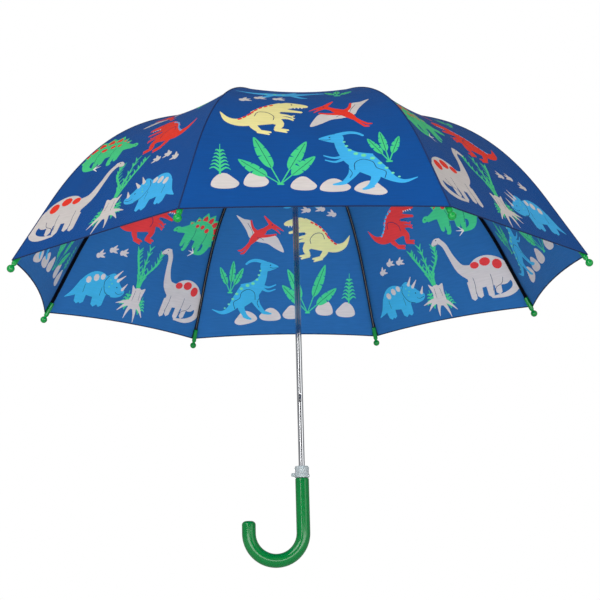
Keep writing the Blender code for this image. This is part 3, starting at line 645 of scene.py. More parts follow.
def plated():
    """A plated dinosaur with its back arched, facing right, about its body."""
    shapes = []
    for i in range(8):
        angle = math.radians(35 + 24 * i)
        x, y = 27 * math.cos(angle) - 4, 21 * math.sin(angle) - 3
        lean = math.degrees(angle) - 90
        size = 1.1 if 1 < i < 6 else 0.75
        for color, share in (("leaf", 1.0), ("red", 0.68)):
            plate = flat_shape(color, (-6, -2), (-6.5, 6), (0, 13), (6.5, 6), (6, -2))
            shapes += placed(placed(plate, 0, 1, share), x, y, size, lean)
    for x in (-6, 20):
        shapes += stroke("leaf", [(x, -2), (x + 4, -22)], [12, 6], steps=3)
    shapes += stroke("leaf", [(42, -2), (26, 2), (6, 4), (-16, 1), (-27, -13), (-22, -26), (-6, -30)],
                     [7, 13, 31, 28, 17, 9, 1.5])
    shapes += stroke("leaf", [(36, -1), (43, 0), (49, -3)], [7, 8, 5])
    for x in (-12, 13):
        shapes += stroke("leaf", [(x, -3), (x + 2, -25), (x + 6, -27)], [13, 7, 4], steps=3)
        shapes += line((x - 5, 5), (x - 6, -6), (x - 2, -18), width=0.6)
    for x, y, size in ((-14, 6, 4.6), (-2, 10, 4.2), (9, 10, 3.6)):
        shapes += spot("red", x, y, size, 0.8)
    for tip in ((-1, -22), (4, -27), (2, -35)):
        shapes += stroke("white", [(-7, -29), tip], [2.4, 0.6], steps=2)
    return shapes + spot("line", 45, -0.5, 0.9)


def swimmer():
    """A long-tailed sea reptile with four flippers, facing right."""
    shapes = stroke("sky", [(-50, 4), (-30, 0), (-6, 0), (16, 2), (34, 6), (44, 8)], [0.8, 6, 13, 13, 6, 5])
    shapes += stroke("sky", [(42, 8), (50, 7)], [7, 3], steps=3)
    for points in ([(12, -2), (22, -12), (30, -14)], [(-8, -2), (-16, -12), (-24, -14)],
                   [(10, 6), (18, 14)]):
        shapes += stroke("sky", points, [6, 5, 1][:len(points)])
    shapes += spot("mint", -6, 1, 2.2) + spot("mint", 4, 2, 2.2) + spot("mint", -16, 0, 1.8)
    return shapes + spot("line", 45, 9, 0.8)


def rock(wide, tall, lean=0.0):
    points = [(-0.5, -0.30), (-0.42, 0.10), (-0.20, 0.44), (0.04, 0.50), (0.27, 0.26), (0.50, -0.10),
              (0.36, -0.40), (0.0, -0.50), (-0.34, -0.47)]
    return placed(blob("grey", *[(x * wide, y * tall) for x, y in points]), 0, 0, turned=lean)


def broad_leaf(start, tip, wide, color="leaf"):
    """A long leaf on a thin stem, with two cuts in its edge."""
    dx, dy = tip[0] - start[0], tip[1] - start[1]
    size, lean = math.hypot(dx, dy), math.degrees(math.atan2(dy, dx))
    low = size * 0.36
    shapes = stroke(color, [(0, 0), (low, 0)], [1.3, 1.5], steps=2)
    shapes += blob(color, (low - 2, 0), (low + size * 0.06, wide * 0.38), (size * 0.62, wide * 0.52),
                   (size * 0.84, wide * 0.34), (size, 0), (size * 0.82, -wide * 0.30),
                   (size * 0.62, -wide * 0.44), (low + size * 0.06, -wide * 0.36))
    shapes += line((low - 1, 0), (size * 0.93, 0), width=0.6)
    for share, side in ((0.60, 1), (0.78, 1), (0.55, -1), (0.74, -1)):
        at, deep, edge = size * share, side * wide * 0.16, side * wide * 0.56
        shapes += flat_shape("ground", (at, deep), (at - 1.4, edge), (at + 1.4, edge))
    return placed(shapes, *start, turned=lean)


def leaves(base, tips, wide):
    shapes = []
    for tip in tips:
        shapes += broad_leaf(base, tip, wide)
    return shapes + stroke("leaf", [(base[0] - 3, base[1]), (base[0] + 3, base[1])], [2.4, 2.4], steps=2)


def fern(x, y, tall, wide, rows=6):
    """Pairs of arched fronds up a straight stem."""
    shapes = stroke("leaf", [(x, y), (x, y + tall)], [2.2, 0.8], steps=3)
    for i in range(rows):
        low = y + tall * (0.10 + 0.78 * i / rows)
        reach = wide * (1 - 0.68 * i / rows) / 2
        for side in (-1, 1):
            tip = (x + side * reach, low + reach * 0.25)
            shapes += stroke("leaf", [(x, low), (x + side * reach * 0.55, low + reach * 0.52), tip],
                             [2.6, 2.4, 0.6], steps=3)
    return shapes


def reed(points):
    """A reed with short leaflets up both its sides."""
    shapes = stroke("leaf", points, [3.0] * (len(points) - 1) + [1.4], steps=3)
    for x, y in smooth(points, closed=False, steps=3)[2:]:
        for way in (-1, 1):
            shapes += stroke("leaf", [(x, y - 1), (x + way * 4.6, y + 6)], [2.8, 1.0], steps=2)
    return shapes


def stump():
    """A tree stump with spread roots, about its foot."""
    shapes = []
    for tip, bend in (((-22, -12), (-12, 0)), ((-9, -21), (-6, -6)), ((10, -17), (7, -4)),
                      ((25, -7), (14, 3)), ((31, 3), (16, 7))):
        shapes += stroke("grey", [(0, 8), bend, tip], [9, 5, 0.8])
    shapes += blob("grey", (-9, 4), (-10, 18), (-12, 30), (-5, 28), (0, 31), (6, 28), (12, 32), (9, 18),
                   (11, 4), (0, -2))
    shapes += line((-5, 24), (-6, 12), width=0.5) + line((4, 25), (5, 10), width=0.5)
    return shapes


def footprint(x, y, lean):
    shapes = spot("grey", 0, -3, 4.0, 0.9, 8)
    for angle in (-36, 0, 36):
        toe = stroke("grey", [(0, 0), (0, 5), (0, 10)], [3.4, 3.8, 0.8], steps=2)
        shapes += placed(toe, 0, -2, turned=angle)
    return placed(shapes, x, y, turned=lean)


def design_a():
    """Five rocks with plants, and a tyrant, a flyer and a crested dinosaur above them."""
    shapes = []
    for x, y, wide, tall, lean in ((-90, 43, 29, 23, 0), (-58, 47, 26, 24, 0), (-9, 41, 27, 21, -6),
                                   (23, 38, 32, 20, -2), (60, 33, 34, 20, -16)):
        shapes += placed(rock(wide, tall), x, y, turned=lean)
    shapes += fern(-95, 53, 46, 22)
    shapes += leaves((-33, 40), [(-59, 114), (-76, 77), (-3, 108), (5, 83)], 14)
    shapes += leaves((82, 72), [(62, 110), (76, 121), (96, 111)], 9)
    shapes += placed(crested(), 53, 69)
    shapes += placed(tyrant("yellow", "red"), -42, 155, tall=1.16)
    shapes += placed(flyer(), 38, 165, 0.96, tall=1.2)
    shapes += footprint(-67, 196, -60) + footprint(-50, 206, -70) + footprint(-29, 205, -80)
    shapes += placed(swimmer(), -26, 224)
    shapes += leaves((38, 216), [(26, 238), (40, 244), (56, 234)], 8)
    shapes += placed(flyer(), -4, 278, 0.8, 180)
    shapes += footprint(-28, 306, 20) + footprint(22, 312, -10) + fern(0, 326, 34, 18)
    return shapes


def design_b():
    """A stump with reeds between a long-necked and a horned dinosaur, and two more above."""
    shapes = fern(-13, 22, 26, 20, 4) + fern(14, 26, 28, 22, 4)
    shapes += placed(stump(), 0, 30)
    shapes += reed([(0, 60), (-3, 78), (-16, 96), (-19, 114)]) + reed([(2, 60), (3, 84), (4, 118)])
    shapes += reed([(4, 60), (9, 80), (18, 100), (22, 112)])
    shapes += placed(long_neck(), -86, 56)
    shapes += placed(horned(), 72, 48)
    shapes += footprint(82, 94, 60) + footprint(64, 105, 70) + footprint(46, 104, 75)
    shapes += placed(tyrant("red", "sky"), 27, 157, 0.98, 0, True, 1.16)
    shapes += placed(plated(), -68, 158, 0.96, tall=1.1)
    shapes += placed(flyer(), -18, 224, 0.78)
    shapes += leaves((46, 206), [(32, 228), (48, 234), (62, 226)], 9)
    shapes += placed(swimmer(), 6, 262, 0.8) + footprint(-24, 296, -30) + footprint(20, 304, 15)
    shapes += fern(0, 318, 36, 18)
    return shapes


# ---- Gores ----


def add_object(name, vertices, faces, materials, indices=None, smooth_faces=True):
    mesh = bpy.data.meshes.new(name)
    mesh.from_pydata([tuple(map(float, v)) for v in vertices], [], [tuple(f) for f in faces])
    for look in materials:
        mesh.materials.append(look)
    if indices is not None:
        mesh.polygons.foreach_set("material_index", indices)
    mesh.polygons.foreach_set("use_smooth", [smooth_faces] * len(mesh.polygons))
    mesh.update()
    made = bpy.data.objects.new(name, mesh)
    bpy.context.scene.collection.objects.link(made)
    return made


def add_flat_map(mesh, places):
    """Stores each vertex's flat place, in metres, as the UV map that the weave reads."""
    layer = mesh.uv_layers.new(name="flat")
    loops = np.empty(len(mesh.loops), np.int32)
    mesh.loops.foreach_get("vertex_index", loops)
    layer.data.foreach_set("uv", np.asarray(places, np.float32)[loops].ravel())


def outward(made):
    """Turns every face of a closed mesh to look out of it."""
    build = bmesh.new()
    build.from_mesh(made.data)
    bmesh.ops.recalc_face_normals(build, faces=build.faces[:])
    build.to_mesh(made.data)
    build.free()


def fit(piece, body, slot, *nodes):
    """The piece moves with the body, and is there in place of the nodes."""
    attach(piece, body)
    if nodes:
        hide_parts(*nodes)


def dress(name, look):
    """A node that keeps the frame's own shape gets its look."""
    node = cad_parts[name]
    node.data.materials.clear()
    node.data.materials.append(look)


def side_points(low, high, count):
    """Flat places up the right edge of a gore."""
    vs = np.linspace(low, high, count)
    return [(float(half_width(v)) - EDGE_GAP, float(v)) for v in vs]


def cut_pattern(low, high, shapes):
    """A flat gore between two heights, cut up along the print: its places, triangles and colours.
    A low of 0 follows the hem."""
    right = side_points(low, high, max(int((high - low) / GRID), 4))
    left = [(-x, v) for x, v in right]
    wide = right[0][0]
    steps = int(2 * wide / GRID)
    across = [-wide + 2 * wide * (i + 1) / steps for i in range(steps - 1)]
    top_wide = right[-1][0]
    top_steps = max(int(2 * top_wide / GRID), 3)
    top_across = [top_wide - 2 * top_wide * (i + 1) / top_steps for i in range(top_steps - 1)]
    bottom = [(x, float(hem_at(x)) if low == 0 else low) for x in across]
    outline = left[:1] + bottom + right + [(x, high) for x in top_across] + left[:0:-1]
    points = [Vector(p) for p in outline]
    faces = [list(range(len(outline)))]
    colors = [0]
    for color, shape in shapes:
        scaled = facing_up([(x * MM, y * MM) for x, y in shape])
        if max(p[1] for p in scaled) < low or min(p[1] for p in scaled) > high:
            continue
        faces.append(list(range(len(points), len(points) + len(scaled))))
        points += [Vector(p) for p in scaled]
        colors.append(NAMES.index(color))
    row = low + GRID * 0.6
    while row < high - GRID * 0.4:
        reach = float(half_width(row)) - EDGE_GAP - GRID * 0.45
        count = max(int(2 * reach / GRID), 1)
        for i in range(count + 1):
            x = -reach + 2 * reach * i / count
            if row > (float(hem_at(x)) if low == 0 else low) + GRID * 0.4:
                points.append(Vector((x, row)))
        row += GRID * 0.92
    verts, _, cells, _, _, origins = delaunay_2d_cdt(points, [], faces, 0, 1e-6, True)
    kept, indices = [], []
    for cell, origin in zip(cells, origins):
        if 0 in origin:
            kept.append(list(cell))
            indices.append(colors[max(origin)])
    used = sorted({i for cell in kept for i in cell})
    renamed = {old: new for new, old in enumerate(used)}
    places = np.array([(verts[i].x, verts[i].y) for i in used])
    return places, [[renamed[i] for i in cell] for cell in kept], indices


def facing_up(points):
    """The outline, run counter-clockwise from its leftmost point."""
    first = min(range(len(points)), key=lambda i: points[i])
    points = points[first:] + points[:first]
    (ax, ay), (bx, by), (cx, cy) = points[-1], points[0], points[1]
    if (bx - ax) * (cy - by) < (by - ay) * (cx - bx):
        points = points[:1] + points[:0:-1]
    return points


def boundary(cells):
    """The directed edges that only one triangle has."""
    seen = {}
    for cell in cells:
        for a, b in zip(cell, cell[1:] + cell[:1]):
            seen[(a, b)] = True
    return [(a, b) for a, b in seen if (b, a) not in seen]


def build_gore(name, azimuth, pattern, flap):
    """Both faces of a piece of fabric with the print's colours on them, and its cut edge."""
    places, cells, indices = pattern
    x, v = places[:, 0], places[:, 1]
    under = np.clip((v - FLEX_LINE) / FLAP, 0, 1) * FLAP_INSET if flap else np.zeros(len(v))
    outer = turn(on_gore(x, v, under), azimuth)
    inner = turn(on_gore(x, v, under + CLOTH), azimuth)
    count = len(places)
    faces = [list(cell) for cell in cells] + [[i + count for i in cell[::-1]] for cell in cells]
    looks = list(indices) + [i + len(NAMES) for i in indices]
    for a, b in boundary(cells):
        faces.append([b, a, a + count, b + count])
        looks.append(0)
    made = add_object(name, np.concatenate([outer, inner]), faces, OUTSIDE + INSIDE_WITH_PAINTED_LIGHT, looks)
    add_flat_map(made.data, np.concatenate([places, places]))
    normals = turn(gore_normals(x, v), azimuth)
    both = np.concatenate([normals, -normals])
    made.data.normals_split_custom_set_from_vertices([tuple(n) for n in both])
    return made


def join_into(base, others):
    with bpy.context.temp_override(active_object=base, selected_editable_objects=[base] + others):
        bpy.ops.object.join()
    return base


def tube(points, radii, sides=8, flatten=1.0, ups=None):
    """Vertices, faces and flat places of a closed bar along a line of points."""
    points = [Vector(p) for p in points]
    vertices, faces, places = [], [], []
    run = 0.0
    for i, point in enumerate(points):
        along = (points[min(i + 1, len(points) - 1)] - points[max(i - 1, 0)]).normalized()
        up = Vector(ups[i]) if ups is not None else Vector((0, 0, 1))
        side = along.cross(up).normalized()
        top = side.cross(along).normalized()
        run += (point - points[i - 1]).length if i else 0.0
        for j in range(sides):
            angle = 2 * math.pi * j / sides
            offset = side * math.cos(angle) + top * math.sin(angle) * flatten
            vertices.append(point + offset * radii[i])
            places.append((radii[i] * angle, run))
    for i in range(len(points) - 1):
        for j in range(sides):
            k = (j + 1) % sides
            low = i * sides
            faces.append((low + j, low + k, low + sides + k, low + sides + j))
    faces.append(tuple(range(sides))[::-1])
    faces.append(tuple(range((len(points) - 1) * sides, len(points) * sides)))
    return vertices, faces, places


def build_hem(name, azimuth):
    """The rolled hem of a gore: a narrow flattened roll with its stitches."""
    wide = float(half_width(0.0)) - EDGE_GAP
    xs = np.linspace(-wide, wide, 61)
    vs = hem_at(xs) + HEM_ROLL * 0.6
    middle = turn(on_gore(xs, vs, CLOTH / 2), azimuth)
    ups = turn(gore_normals(xs, vs), azimuth)
    vertices, faces, places = tube(middle, [HEM_ROLL] * len(xs), 8, 0.7, ups)
    made = add_object(name, vertices, faces, [BINDING])
    add_flat_map(made.data, places)
    return made


def make_gores():
    designs = [design_a(), design_b()]
    halves = []
    for shapes in designs:
        upper = cut_pattern(FLEX_LINE, LENGTH, shapes)
        lower = cut_pattern(0.0, FLEX_LINE + FLAP, shapes)
        halves.append((upper, lower))
    for k in range(1, RIB_COUNT + 1):
        azimuth = gore_azimuth(k)
        upper, lower = halves[(k - 1) % 2]
        top = build_gore(f"canopy_{k}_upper", azimuth, upper, False)
        low = build_gore(f"canopy_{k}_lower", azimuth, lower, True)
        hem = build_hem(f"canopy_{k}_hem", azimuth)
        for piece, body, keep in ((top, "upper", FURLED_UPPER), (low, "lower", FURLED_LOWER),
                                  (hem, "lower", FURLED_LOWER)):
            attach(piece, f"gore_{k}_{body}")
            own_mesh(piece)
        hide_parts(f"gore_{k}_upper")
        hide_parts(f"gore_{k}_lower")


# ---- Seams ----


def seam_rows(inset, reach, low=0.0):
    """Points beside a rib on the gores to its left and right: rows from hem to crown, each from
    the left to the right, in the rib's own plane. reach gives a row's half width."""
    rows, places = [], []
    vs = np.linspace(low, LENGTH, 90)
    for v in vs:
        wide = float(half_width(v))
        half = min(reach(v), wide * 0.8)
        row, flat = [], []
        for t in np.linspace(-1, 1, 7):
            side = 1 if t > 0 else -1
            x = wide - abs(t) * half
            point = on_gore(side * -x, v, inset(t))
            row.append(turn(point, side * HALF_GORE))
            flat.append((t * half, v))
        rows.append(row)
        places.append(flat)
    return np.array(rows), np.array(places)


def strip(name, rows, below, places, azimuth, look):
    """A closed band between two layers of rows."""
    count, wide = rows.shape[:2]
    layers = [turn(rows, azimuth).reshape(-1, 3), turn(below, azimuth).reshape(-1, 3)]
    vertices = np.concatenate(layers)
    size = count * wide
    faces = []
    for i in range(count - 1):
        for j in range(wide - 1):
            a = i * wide + j
            quad = (a, a + 1, a + wide + 1, a + wide)
            faces.append(quad)
            faces.append(tuple(n + size for n in quad[::-1]))
        for a, b in ((i * wide, (i + 1) * wide), ((i + 2) * wide - 1, (i + 1) * wide - 1)):
            faces.append((a, b, b + size, a + size))
    for start, step in ((0, 1), ((count - 1) * wide + wide - 1, -1)):
        for j in range(wide - 1):
            a = start + j * step
            faces.append((a, a + size, a + step + size, a + step))
    made = add_object(name, vertices, faces, [look])
    outward(made)
    flat = places.reshape(-1, 2)
    add_flat_map(made.data, np.concatenate([flat, flat]))
    return made


def blend_on_rib(piece):
    """The piece's placement is baked into its mesh."""
    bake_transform(piece)


def make_seams():
    ridge, ridge_places = seam_rows(lambda t: -RIDGE_HEIGHT * (1 - t * t) - 0.00005, lambda v: RIDGE_HALF)
    ridge_floor, _ = seam_rows(lambda t: CLOTH * 0.6, lambda v: RIDGE_HALF)

    def reach(v):
        low, high = np.clip(1 - v / 0.03, 0, 1), np.clip((v - FLEX_LINE) / 0.05, 0, 1)
        near, far = (share * share * (3 - 2 * share) for share in (low, high))
        return ALLOWANCE + (POCKET - ALLOWANCE) * near + (CROWN_TAPE - ALLOWANCE) * far

    # The tape widens over the corner pockets near the hem and under the crown; its dark colour there is
    # partly painted shade near the tips and beside the ribs.
    tape, tape_places = seam_rows(lambda t: CLOTH + 0.00025, reach, 0.001)
    tape_floor, _ = seam_rows(lambda t: CLOTH + 0.0006, reach, 0.001)
    for k in range(1, RIB_COUNT + 1):
        azimuth = rib_azimuth(k)
        outside = strip(f"seam_{k}", ridge, ridge_floor, ridge_places, azimuth, SEAM)
        inside = strip(f"seam_tape_{k}", tape, tape_floor, tape_places, azimuth, TAPE_AND_SHADE)
        for piece in (outside, inside):
            blend_on_rib(piece)


# ---- Ribs and tips ----


def make_ribs():
    """One bent channel of black steel for each rib, open below, with its eye at the crown."""
    start = CROWN_RING + 0.0062
    end = radius_before_tip(SLEEVE_END - 0.003)
    radii = np.linspace(start, end, 70)
    half, low_side, deep, wall = RIB_WIDTH / 2, RIB_LOW, RIB_HIGH, RIB_WALL
    round_off = 0.0006
    section = [
        (-half, low_side), (-half, deep - round_off), (-half + round_off, deep),
        (half - round_off, deep), (half, deep - round_off), (half, low_side),
        (half - wall, low_side), (half - wall, deep - wall), (RIB_BEAD, deep - wall),
        (RIB_BEAD * 0.6, deep - wall - RIB_BEAD), (-RIB_BEAD * 0.6, deep - wall - RIB_BEAD),
        (-RIB_BEAD, deep - wall), (wall - half, deep - wall), (wall - half, low_side),
    ]
    rings = []
    for r in radii:
        center, normal = rib_frame(float(r))
        ring = [center + normal * up for _, up in section]
        rings.append([(point.x, across, point.y) for point, (across, _) in zip(ring, section)])
    rings = np.array(rings)
    count, sides = rings.shape[:2]
    faces, looks = [], []
    for i in range(count - 1):
        for j in range(sides):
            k = (j + 1) % sides
            low = i * sides
            faces.append((low + j, low + k, low + sides + k, low + sides + j))
            looks.append(1 if j in (8, 9, 10) else 0)
    faces += [tuple(range(sides))[::-1], tuple(range((count - 1) * sides, count * sides))]
    looks += [0, 0]
    eye_v, eye_f = crown_eye(start)
    base = count * sides
    faces += [tuple(n + base for n in face) for face in eye_f]
    looks += [0] * len(eye_f)
    shape = np.concatenate([rings.reshape(-1, 3), eye_v])
    for k in range(1, RIB_COUNT + 1):
        made = add_object(f"rib_{k}", turn(shape, rib_azimuth(k)), faces, [RIB_BLACK, RIB_LINE], looks)
        made.data.set_sharp_from_angle(angle=math.radians(35))
        blend_on_rib(made)
        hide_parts(f"rib_{k}_inner", f"rib_{k}_outer")


def crown_eye(start):
    """The flat blade and the round eye that hang the rib on the crown's wire ring."""
    center, _ = rib_frame(CROWN_RING)
    blade_end, normal = rib_frame(start + 0.002)
    along = (blade_end - center).normalized()
    across = Vector((-along.y, along.x))
    hole, outer, half, thick = 0.00085, 0.0017, 0.0014, 0.0006
    sides = 20
    inner_ring, outer_ring = [], []
    for i in range(sides):
        angle = 2 * math.pi * i / sides
        ray = along * math.cos(angle) + across * math.sin(angle)
        inner_ring.append(center + ray * hole)
        outer_ring.append(center + ray * outer)
    vertices, faces = [], []
    for ring in (inner_ring, outer_ring):
        for y in (-thick, thick):
            vertices += [(p.x, y, p.y) for p in ring]
    for i in range(sides):
        j = (i + 1) % sides
        a, b, c, d = (n * sides for n in range(4))
        faces += [(a + i, a + j, c + j, c + i), (b + i, d + i, d + j, b + j),
                  (a + i, b + i, b + j, a + j), (c + i, c + j, d + j, d + i)]
    base = len(vertices)
    corners = [center + along * 0.0012 + across * half, center + along * 0.0012 - across * half,
               blade_end - across * half, blade_end + across * half]
    for y in (-thick, thick):
        vertices += [(p.x, y, p.y) for p in corners]
    faces += [tuple(base + n for n in face) for face in
              ((0, 1, 2, 3), (7, 6, 5, 4), (0, 4, 5, 1), (1, 5, 6, 2), (2, 6, 7, 3), (3, 7, 4, 0))]
    return np.array(vertices), faces


def turned(name, profile, look, sides=48, sharp=40):
    """A profile of (radius, height) turned about Z. It closes on the axis or on itself."""
    vertices, rings, faces = [], [], []
    for radius, height in profile:
        if radius == 0:
            rings.append([len(vertices)])
            vertices.append((0, 0, height))
            continue
        rings.append(list(range(len(vertices), len(vertices) + sides)))
        for i in range(sides):
            angle = 2 * math.pi * i / sides
            vertices.append((radius * math.cos(angle), radius * math.sin(angle), height))
    pairs = list(zip(rings, rings[1:]))
    if profile[0][0] and profile[-1][0]:
        pairs.append((rings[-1], rings[0]))
    for one, two in pairs:
        for i in range(sides):
            j = (i + 1) % sides
            if len(one) == 1:
                faces.append((one[0], two[i], two[j]))
            elif len(two) == 1:
                faces.append((one[i], two[0], one[j]))
            else:
                faces.append((one[i], two[i], two[j], one[j]))
    made = add_object(name, vertices, faces, [look])
    outward(made)
    made.data.set_sharp_from_angle(angle=math.radians(sharp))
    return made


def rounded(points, radius, steps=4):
    """The corners of an open profile, each rounded off."""
    made = [points[0]]
    for before, corner, after in zip(points, points[1:], points[2:]):
        b, c, a = Vector(before), Vector(corner), Vector(after)
        cut = min(radius, (b - c).length * 0.45, (a - c).length * 0.45)
        start, end = c + (b - c).normalized() * cut, c + (a - c).normalized() * cut
        for i in range(steps + 1):
            t = i / steps
            point = start * (1 - t) ** 2 + c * 2 * t * (1 - t) + end * t * t
            made.append((point.x, point.y))
    made.append(points[-1])
    return made


def make_tips():
    """Each rib's end: a ball on a neck, and a sleeve that the rib goes into."""
    tip, _ = rib_frame(TIP_RADIUS)
    back = rib_frame(radius_before_tip(SLEEVE_END))[0] - tip
    lean = math.atan2(back.x, back.y)
    join = math.asin(NECK_RADIUS / BALL_RADIUS)
    ball = [(BALL_RADIUS * math.sin(a), BALL_RADIUS * math.cos(a))
            for a in np.linspace(math.pi, join, 18)]
    ball[0] = (0, -BALL_RADIUS)
    bore = 0.00175
    sleeve = [(NECK_RADIUS, 0.0052), (SLEEVE_RADIUS * 0.97, 0.0064), (SLEEVE_RADIUS, 0.0085),
              (SLEEVE_RADIUS * 0.93, SLEEVE_END), (bore, SLEEVE_END), (bore, 0.0088), (0, 0.0088)]
    profile = ball + rounded(sleeve, 0.0007)
    for k in range(1, RIB_COUNT + 1):
        made = turned(f"rib_tip_{k}", profile, TIP_GREEN, 32, 50)
        made.data.transform(Matrix.Rotation(lean, 4, "Y"))
        made.data.transform(Matrix.Translation((tip.x, 0, tip.y)))
        made.data.transform(Matrix.Rotation(rib_azimuth(k), 4, "Z"))
        fit(made, f"rib_{k}_outer", "green_plastic", f"tip_{k}")


def make_stretchers():
    """The frame's stretchers keep their shape; each gets its finish and two domed rivet heads."""
    place = rivet_point()
    dome = [(0, -0.0002), (RIVET_RADIUS, -0.0002)]
    dome += [(RIVET_RADIUS * math.cos(a), RIVET_DOME * math.sin(a))
             for a in np.linspace(0, math.pi / 2, 6)[:-1]]
    dome.append((0, RIVET_DOME))
    for k in range(1, RIB_COUNT + 1):
        dress(f"stretcher_{k}", RIB_BLACK)
        heads = []
        for side in (-1, 1):
            head = turned("head", dome, RIVET_STEEL, 20)
            head.data.transform(Matrix.Rotation(-side * math.pi / 2, 4, "X"))
            head.data.transform(Matrix.Translation((place.x, side * RIVET_REACH, place.y)))
            head.data.transform(Matrix.Rotation(rib_azimuth(k), 4, "Z"))
            heads.append(head)
        made = join_into(heads[0], heads[1:])
        made.name = f"rivets_{k}"
        fit(made, f"stretcher_{k}", "wire")


def rivet_point():
    """Where the stretcher meets the rib: its own length from the crown's ring."""
    crown = rib_frame(CROWN_RING)[0]
    low, high = CROWN_RING, TIP_RADIUS
    for _ in range(50):
        middle = (low + high) / 2
        if (rib_frame(middle)[0] - crown).length < STRETCHER_LENGTH:
            low = middle
        else:
            high = middle
    return rib_frame(low)[0]


# ---- Shaft, crown, runner, handle ----


def make_shaft():
    low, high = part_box("shaft")
    inner = SHAFT_RADIUS - SHAFT_WALL
    profile = [(inner, high.z), (SHAFT_RADIUS, high.z), (SHAFT_RADIUS, low.z), (inner, low.z)]
    shaft = turned("shaft_tube", profile, CHROME, 64)
    fit(shaft, "frame", "chrome", "shaft")
    for name in ("top_catch", "bottom_catch"):
        dress(name, WIRE)
        make_catch_slot(name)


def make_catch_slot(name):
    """A near-black plate stands for the slot in the shaft that a catch springs through, its colour painted
    shade of the hollow inside, with the pressed rim round it.
    """
    low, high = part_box(name)
    middle = (low.z + high.z) / 2
    tall, wide = (high.z - low.z) / 2 + SLOT_MARGIN, SLOT_HALF_WIDTH
    outline = smooth([(-wide, -tall), (wide, -tall), (wide * 1.05, 0), (wide, tall), (-wide, tall),
                      (-wide * 1.05, 0)], steps=5)
    for label, grow, lift, look in (("rim", 1.28, 0.00006, CHROME), ("slot", 1.0, 0.00010, SLOT_PAINTED_SHADE)):
        vertices = []
        for depth in (SHAFT_RADIUS - 0.0004, SHAFT_RADIUS + lift):
            for x, z in outline:
                angle = x * grow / SHAFT_RADIUS - math.pi / 2
                reach = z * (1 + (grow - 1) * wide / tall)
                vertices.append((depth * math.cos(angle), depth * math.sin(angle), middle + reach))
        count = len(outline)
        faces = [tuple(range(count)), tuple(range(count, 2 * count))[::-1]]
        faces += [(i, i + count, (i + 1) % count + count, (i + 1) % count) for i in range(count)]
        made = add_object(f"{name}_{label}", vertices, faces, [look], smooth_faces=False)
        fit(made, "frame", "chrome" if label == "rim" else "black_plastic")


def make_crown():
    """The notch and the runner with their wires, the washer on the fabric and the ferrule."""
    for name in ("top_notch", "runner"):
        dress(name, BLACK)
    for name in ("notch_wire", "runner_wire"):
        dress(name, WIRE)
    low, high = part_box("crown_cap")
    rim = high.x
    cap = [(BORE, high.z - CAP_THICKNESS), (BORE, high.z), (BORE + 0.004, high.z - 0.0001),
           (rim - 0.002, low.z + 0.0016), (rim, low.z + 0.0006), (rim, low.z), (rim * 0.6, low.z + 0.0001)]
    washer = turned("crown_washer", rounded(cap, 0.0005), GREEN, 64)
    fit(washer, "frame", "green_plastic", "crown_cap")
    low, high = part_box("ferrule")
    foot, top = low.z, high.z
    profile = [(0, top), (FERRULE_TOP, top), (FERRULE_TOP * 2, top - 0.0012),
               (FERRULE_RADIUS, top - 0.0058), (FERRULE_RADIUS, foot + 0.0045),
               (FERRULE_RADIUS + 0.0004, foot + 0.0036), (FERRULE_FOOT, foot + 0.0018),
               (FERRULE_FOOT, foot), (BORE, foot), (BORE, top - FERRULE_HOLE), (0, top - FERRULE_HOLE)]
    spike = turned("ferrule_spike", rounded(profile, 0.0009), GREEN, 64)
    fit(spike, "frame", "green_plastic", "ferrule")


def make_handle():
    """The crook: a straight grip, a half circle and a short leg with a rounded end."""
    top, leg = GRIP_LENGTH / 2, SHORT_LEG - HANDLE_END
    centers, shares = [], []

    def add(x, z, share=1.0):
        centers.append((x, 0, z))
        shares.append(share)

    for depth, share in ((0.0, 0.80), (0.0003, 0.90), (0.0008, 0.97), (0.0015, 1.0)):
        add(0, top - depth, share)
    for z in np.linspace(top - 0.004, -top, 16):
        add(0, z)
    for angle in np.linspace(0, math.pi, 49)[1:]:
        add(CROOK_RADIUS * (math.cos(angle) - 1), -top - CROOK_RADIUS * math.sin(angle))
    for z in np.linspace(0, leg, 5)[1:]:
        add(-2 * CROOK_RADIUS, z - top)
    for angle in np.linspace(0, math.pi / 2, 9)[1:]:
        rise = leg + HANDLE_END * math.sin(angle)
        add(-2 * CROOK_RADIUS, rise - top, 0.35 + 0.65 * math.cos(angle))
    radii = [HANDLE_RADIUS * share for share in shares]
    vertices, faces, _ = tube(centers, radii, 56, 1.0, [(0, 1, 0)] * len(centers))
    made = add_object("crook_handle", vertices, faces, [GREEN])
    made.data.set_sharp_from_angle(angle=math.radians(50))
    fit(made, "frame", "green_plastic", "handle")


def make_collar():
    """The milky sleeve on top of the handle, with its nub."""
    low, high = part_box("handle_collar")
    foot, top = low.z, high.z
    profile = [(BORE, foot), (COLLAR_RADIUS - 0.0006, foot), (COLLAR_RADIUS, foot + 0.001),
               (COLLAR_RADIUS, foot + COLLAR_BEAD), (COLLAR_RADIUS - 0.0007, foot + COLLAR_BEAD + 0.001),
               (COLLAR_RADIUS - 0.0007, top - 0.0045), (COLLAR_RADIUS - 0.0002, top - 0.0030),
               (COLLAR_RADIUS - 0.0012, top), (BORE, top)]
    collar = turned("collar_sleeve", rounded(profile, 0.0006), CLEAR, 64)
    start, reach = BORE + 0.0012, abs(low.x)
    nub = [(0, start), (NUB_RADIUS, start), (NUB_RADIUS, reach - 0.0008), (NUB_RADIUS - 0.0008, reach),
           (0, reach)]
    knob = turned("nub", rounded(nub, 0.0005), CLEAR, 28)
    knob.data.transform(Matrix.Rotation(math.radians(-90), 4, "Y"))
    knob.data.transform(Matrix.Translation((0, 0, foot + COLLAR_BEAD)))
    fit(join_into(collar, [knob]), "frame", "clear_plastic", "handle_collar")


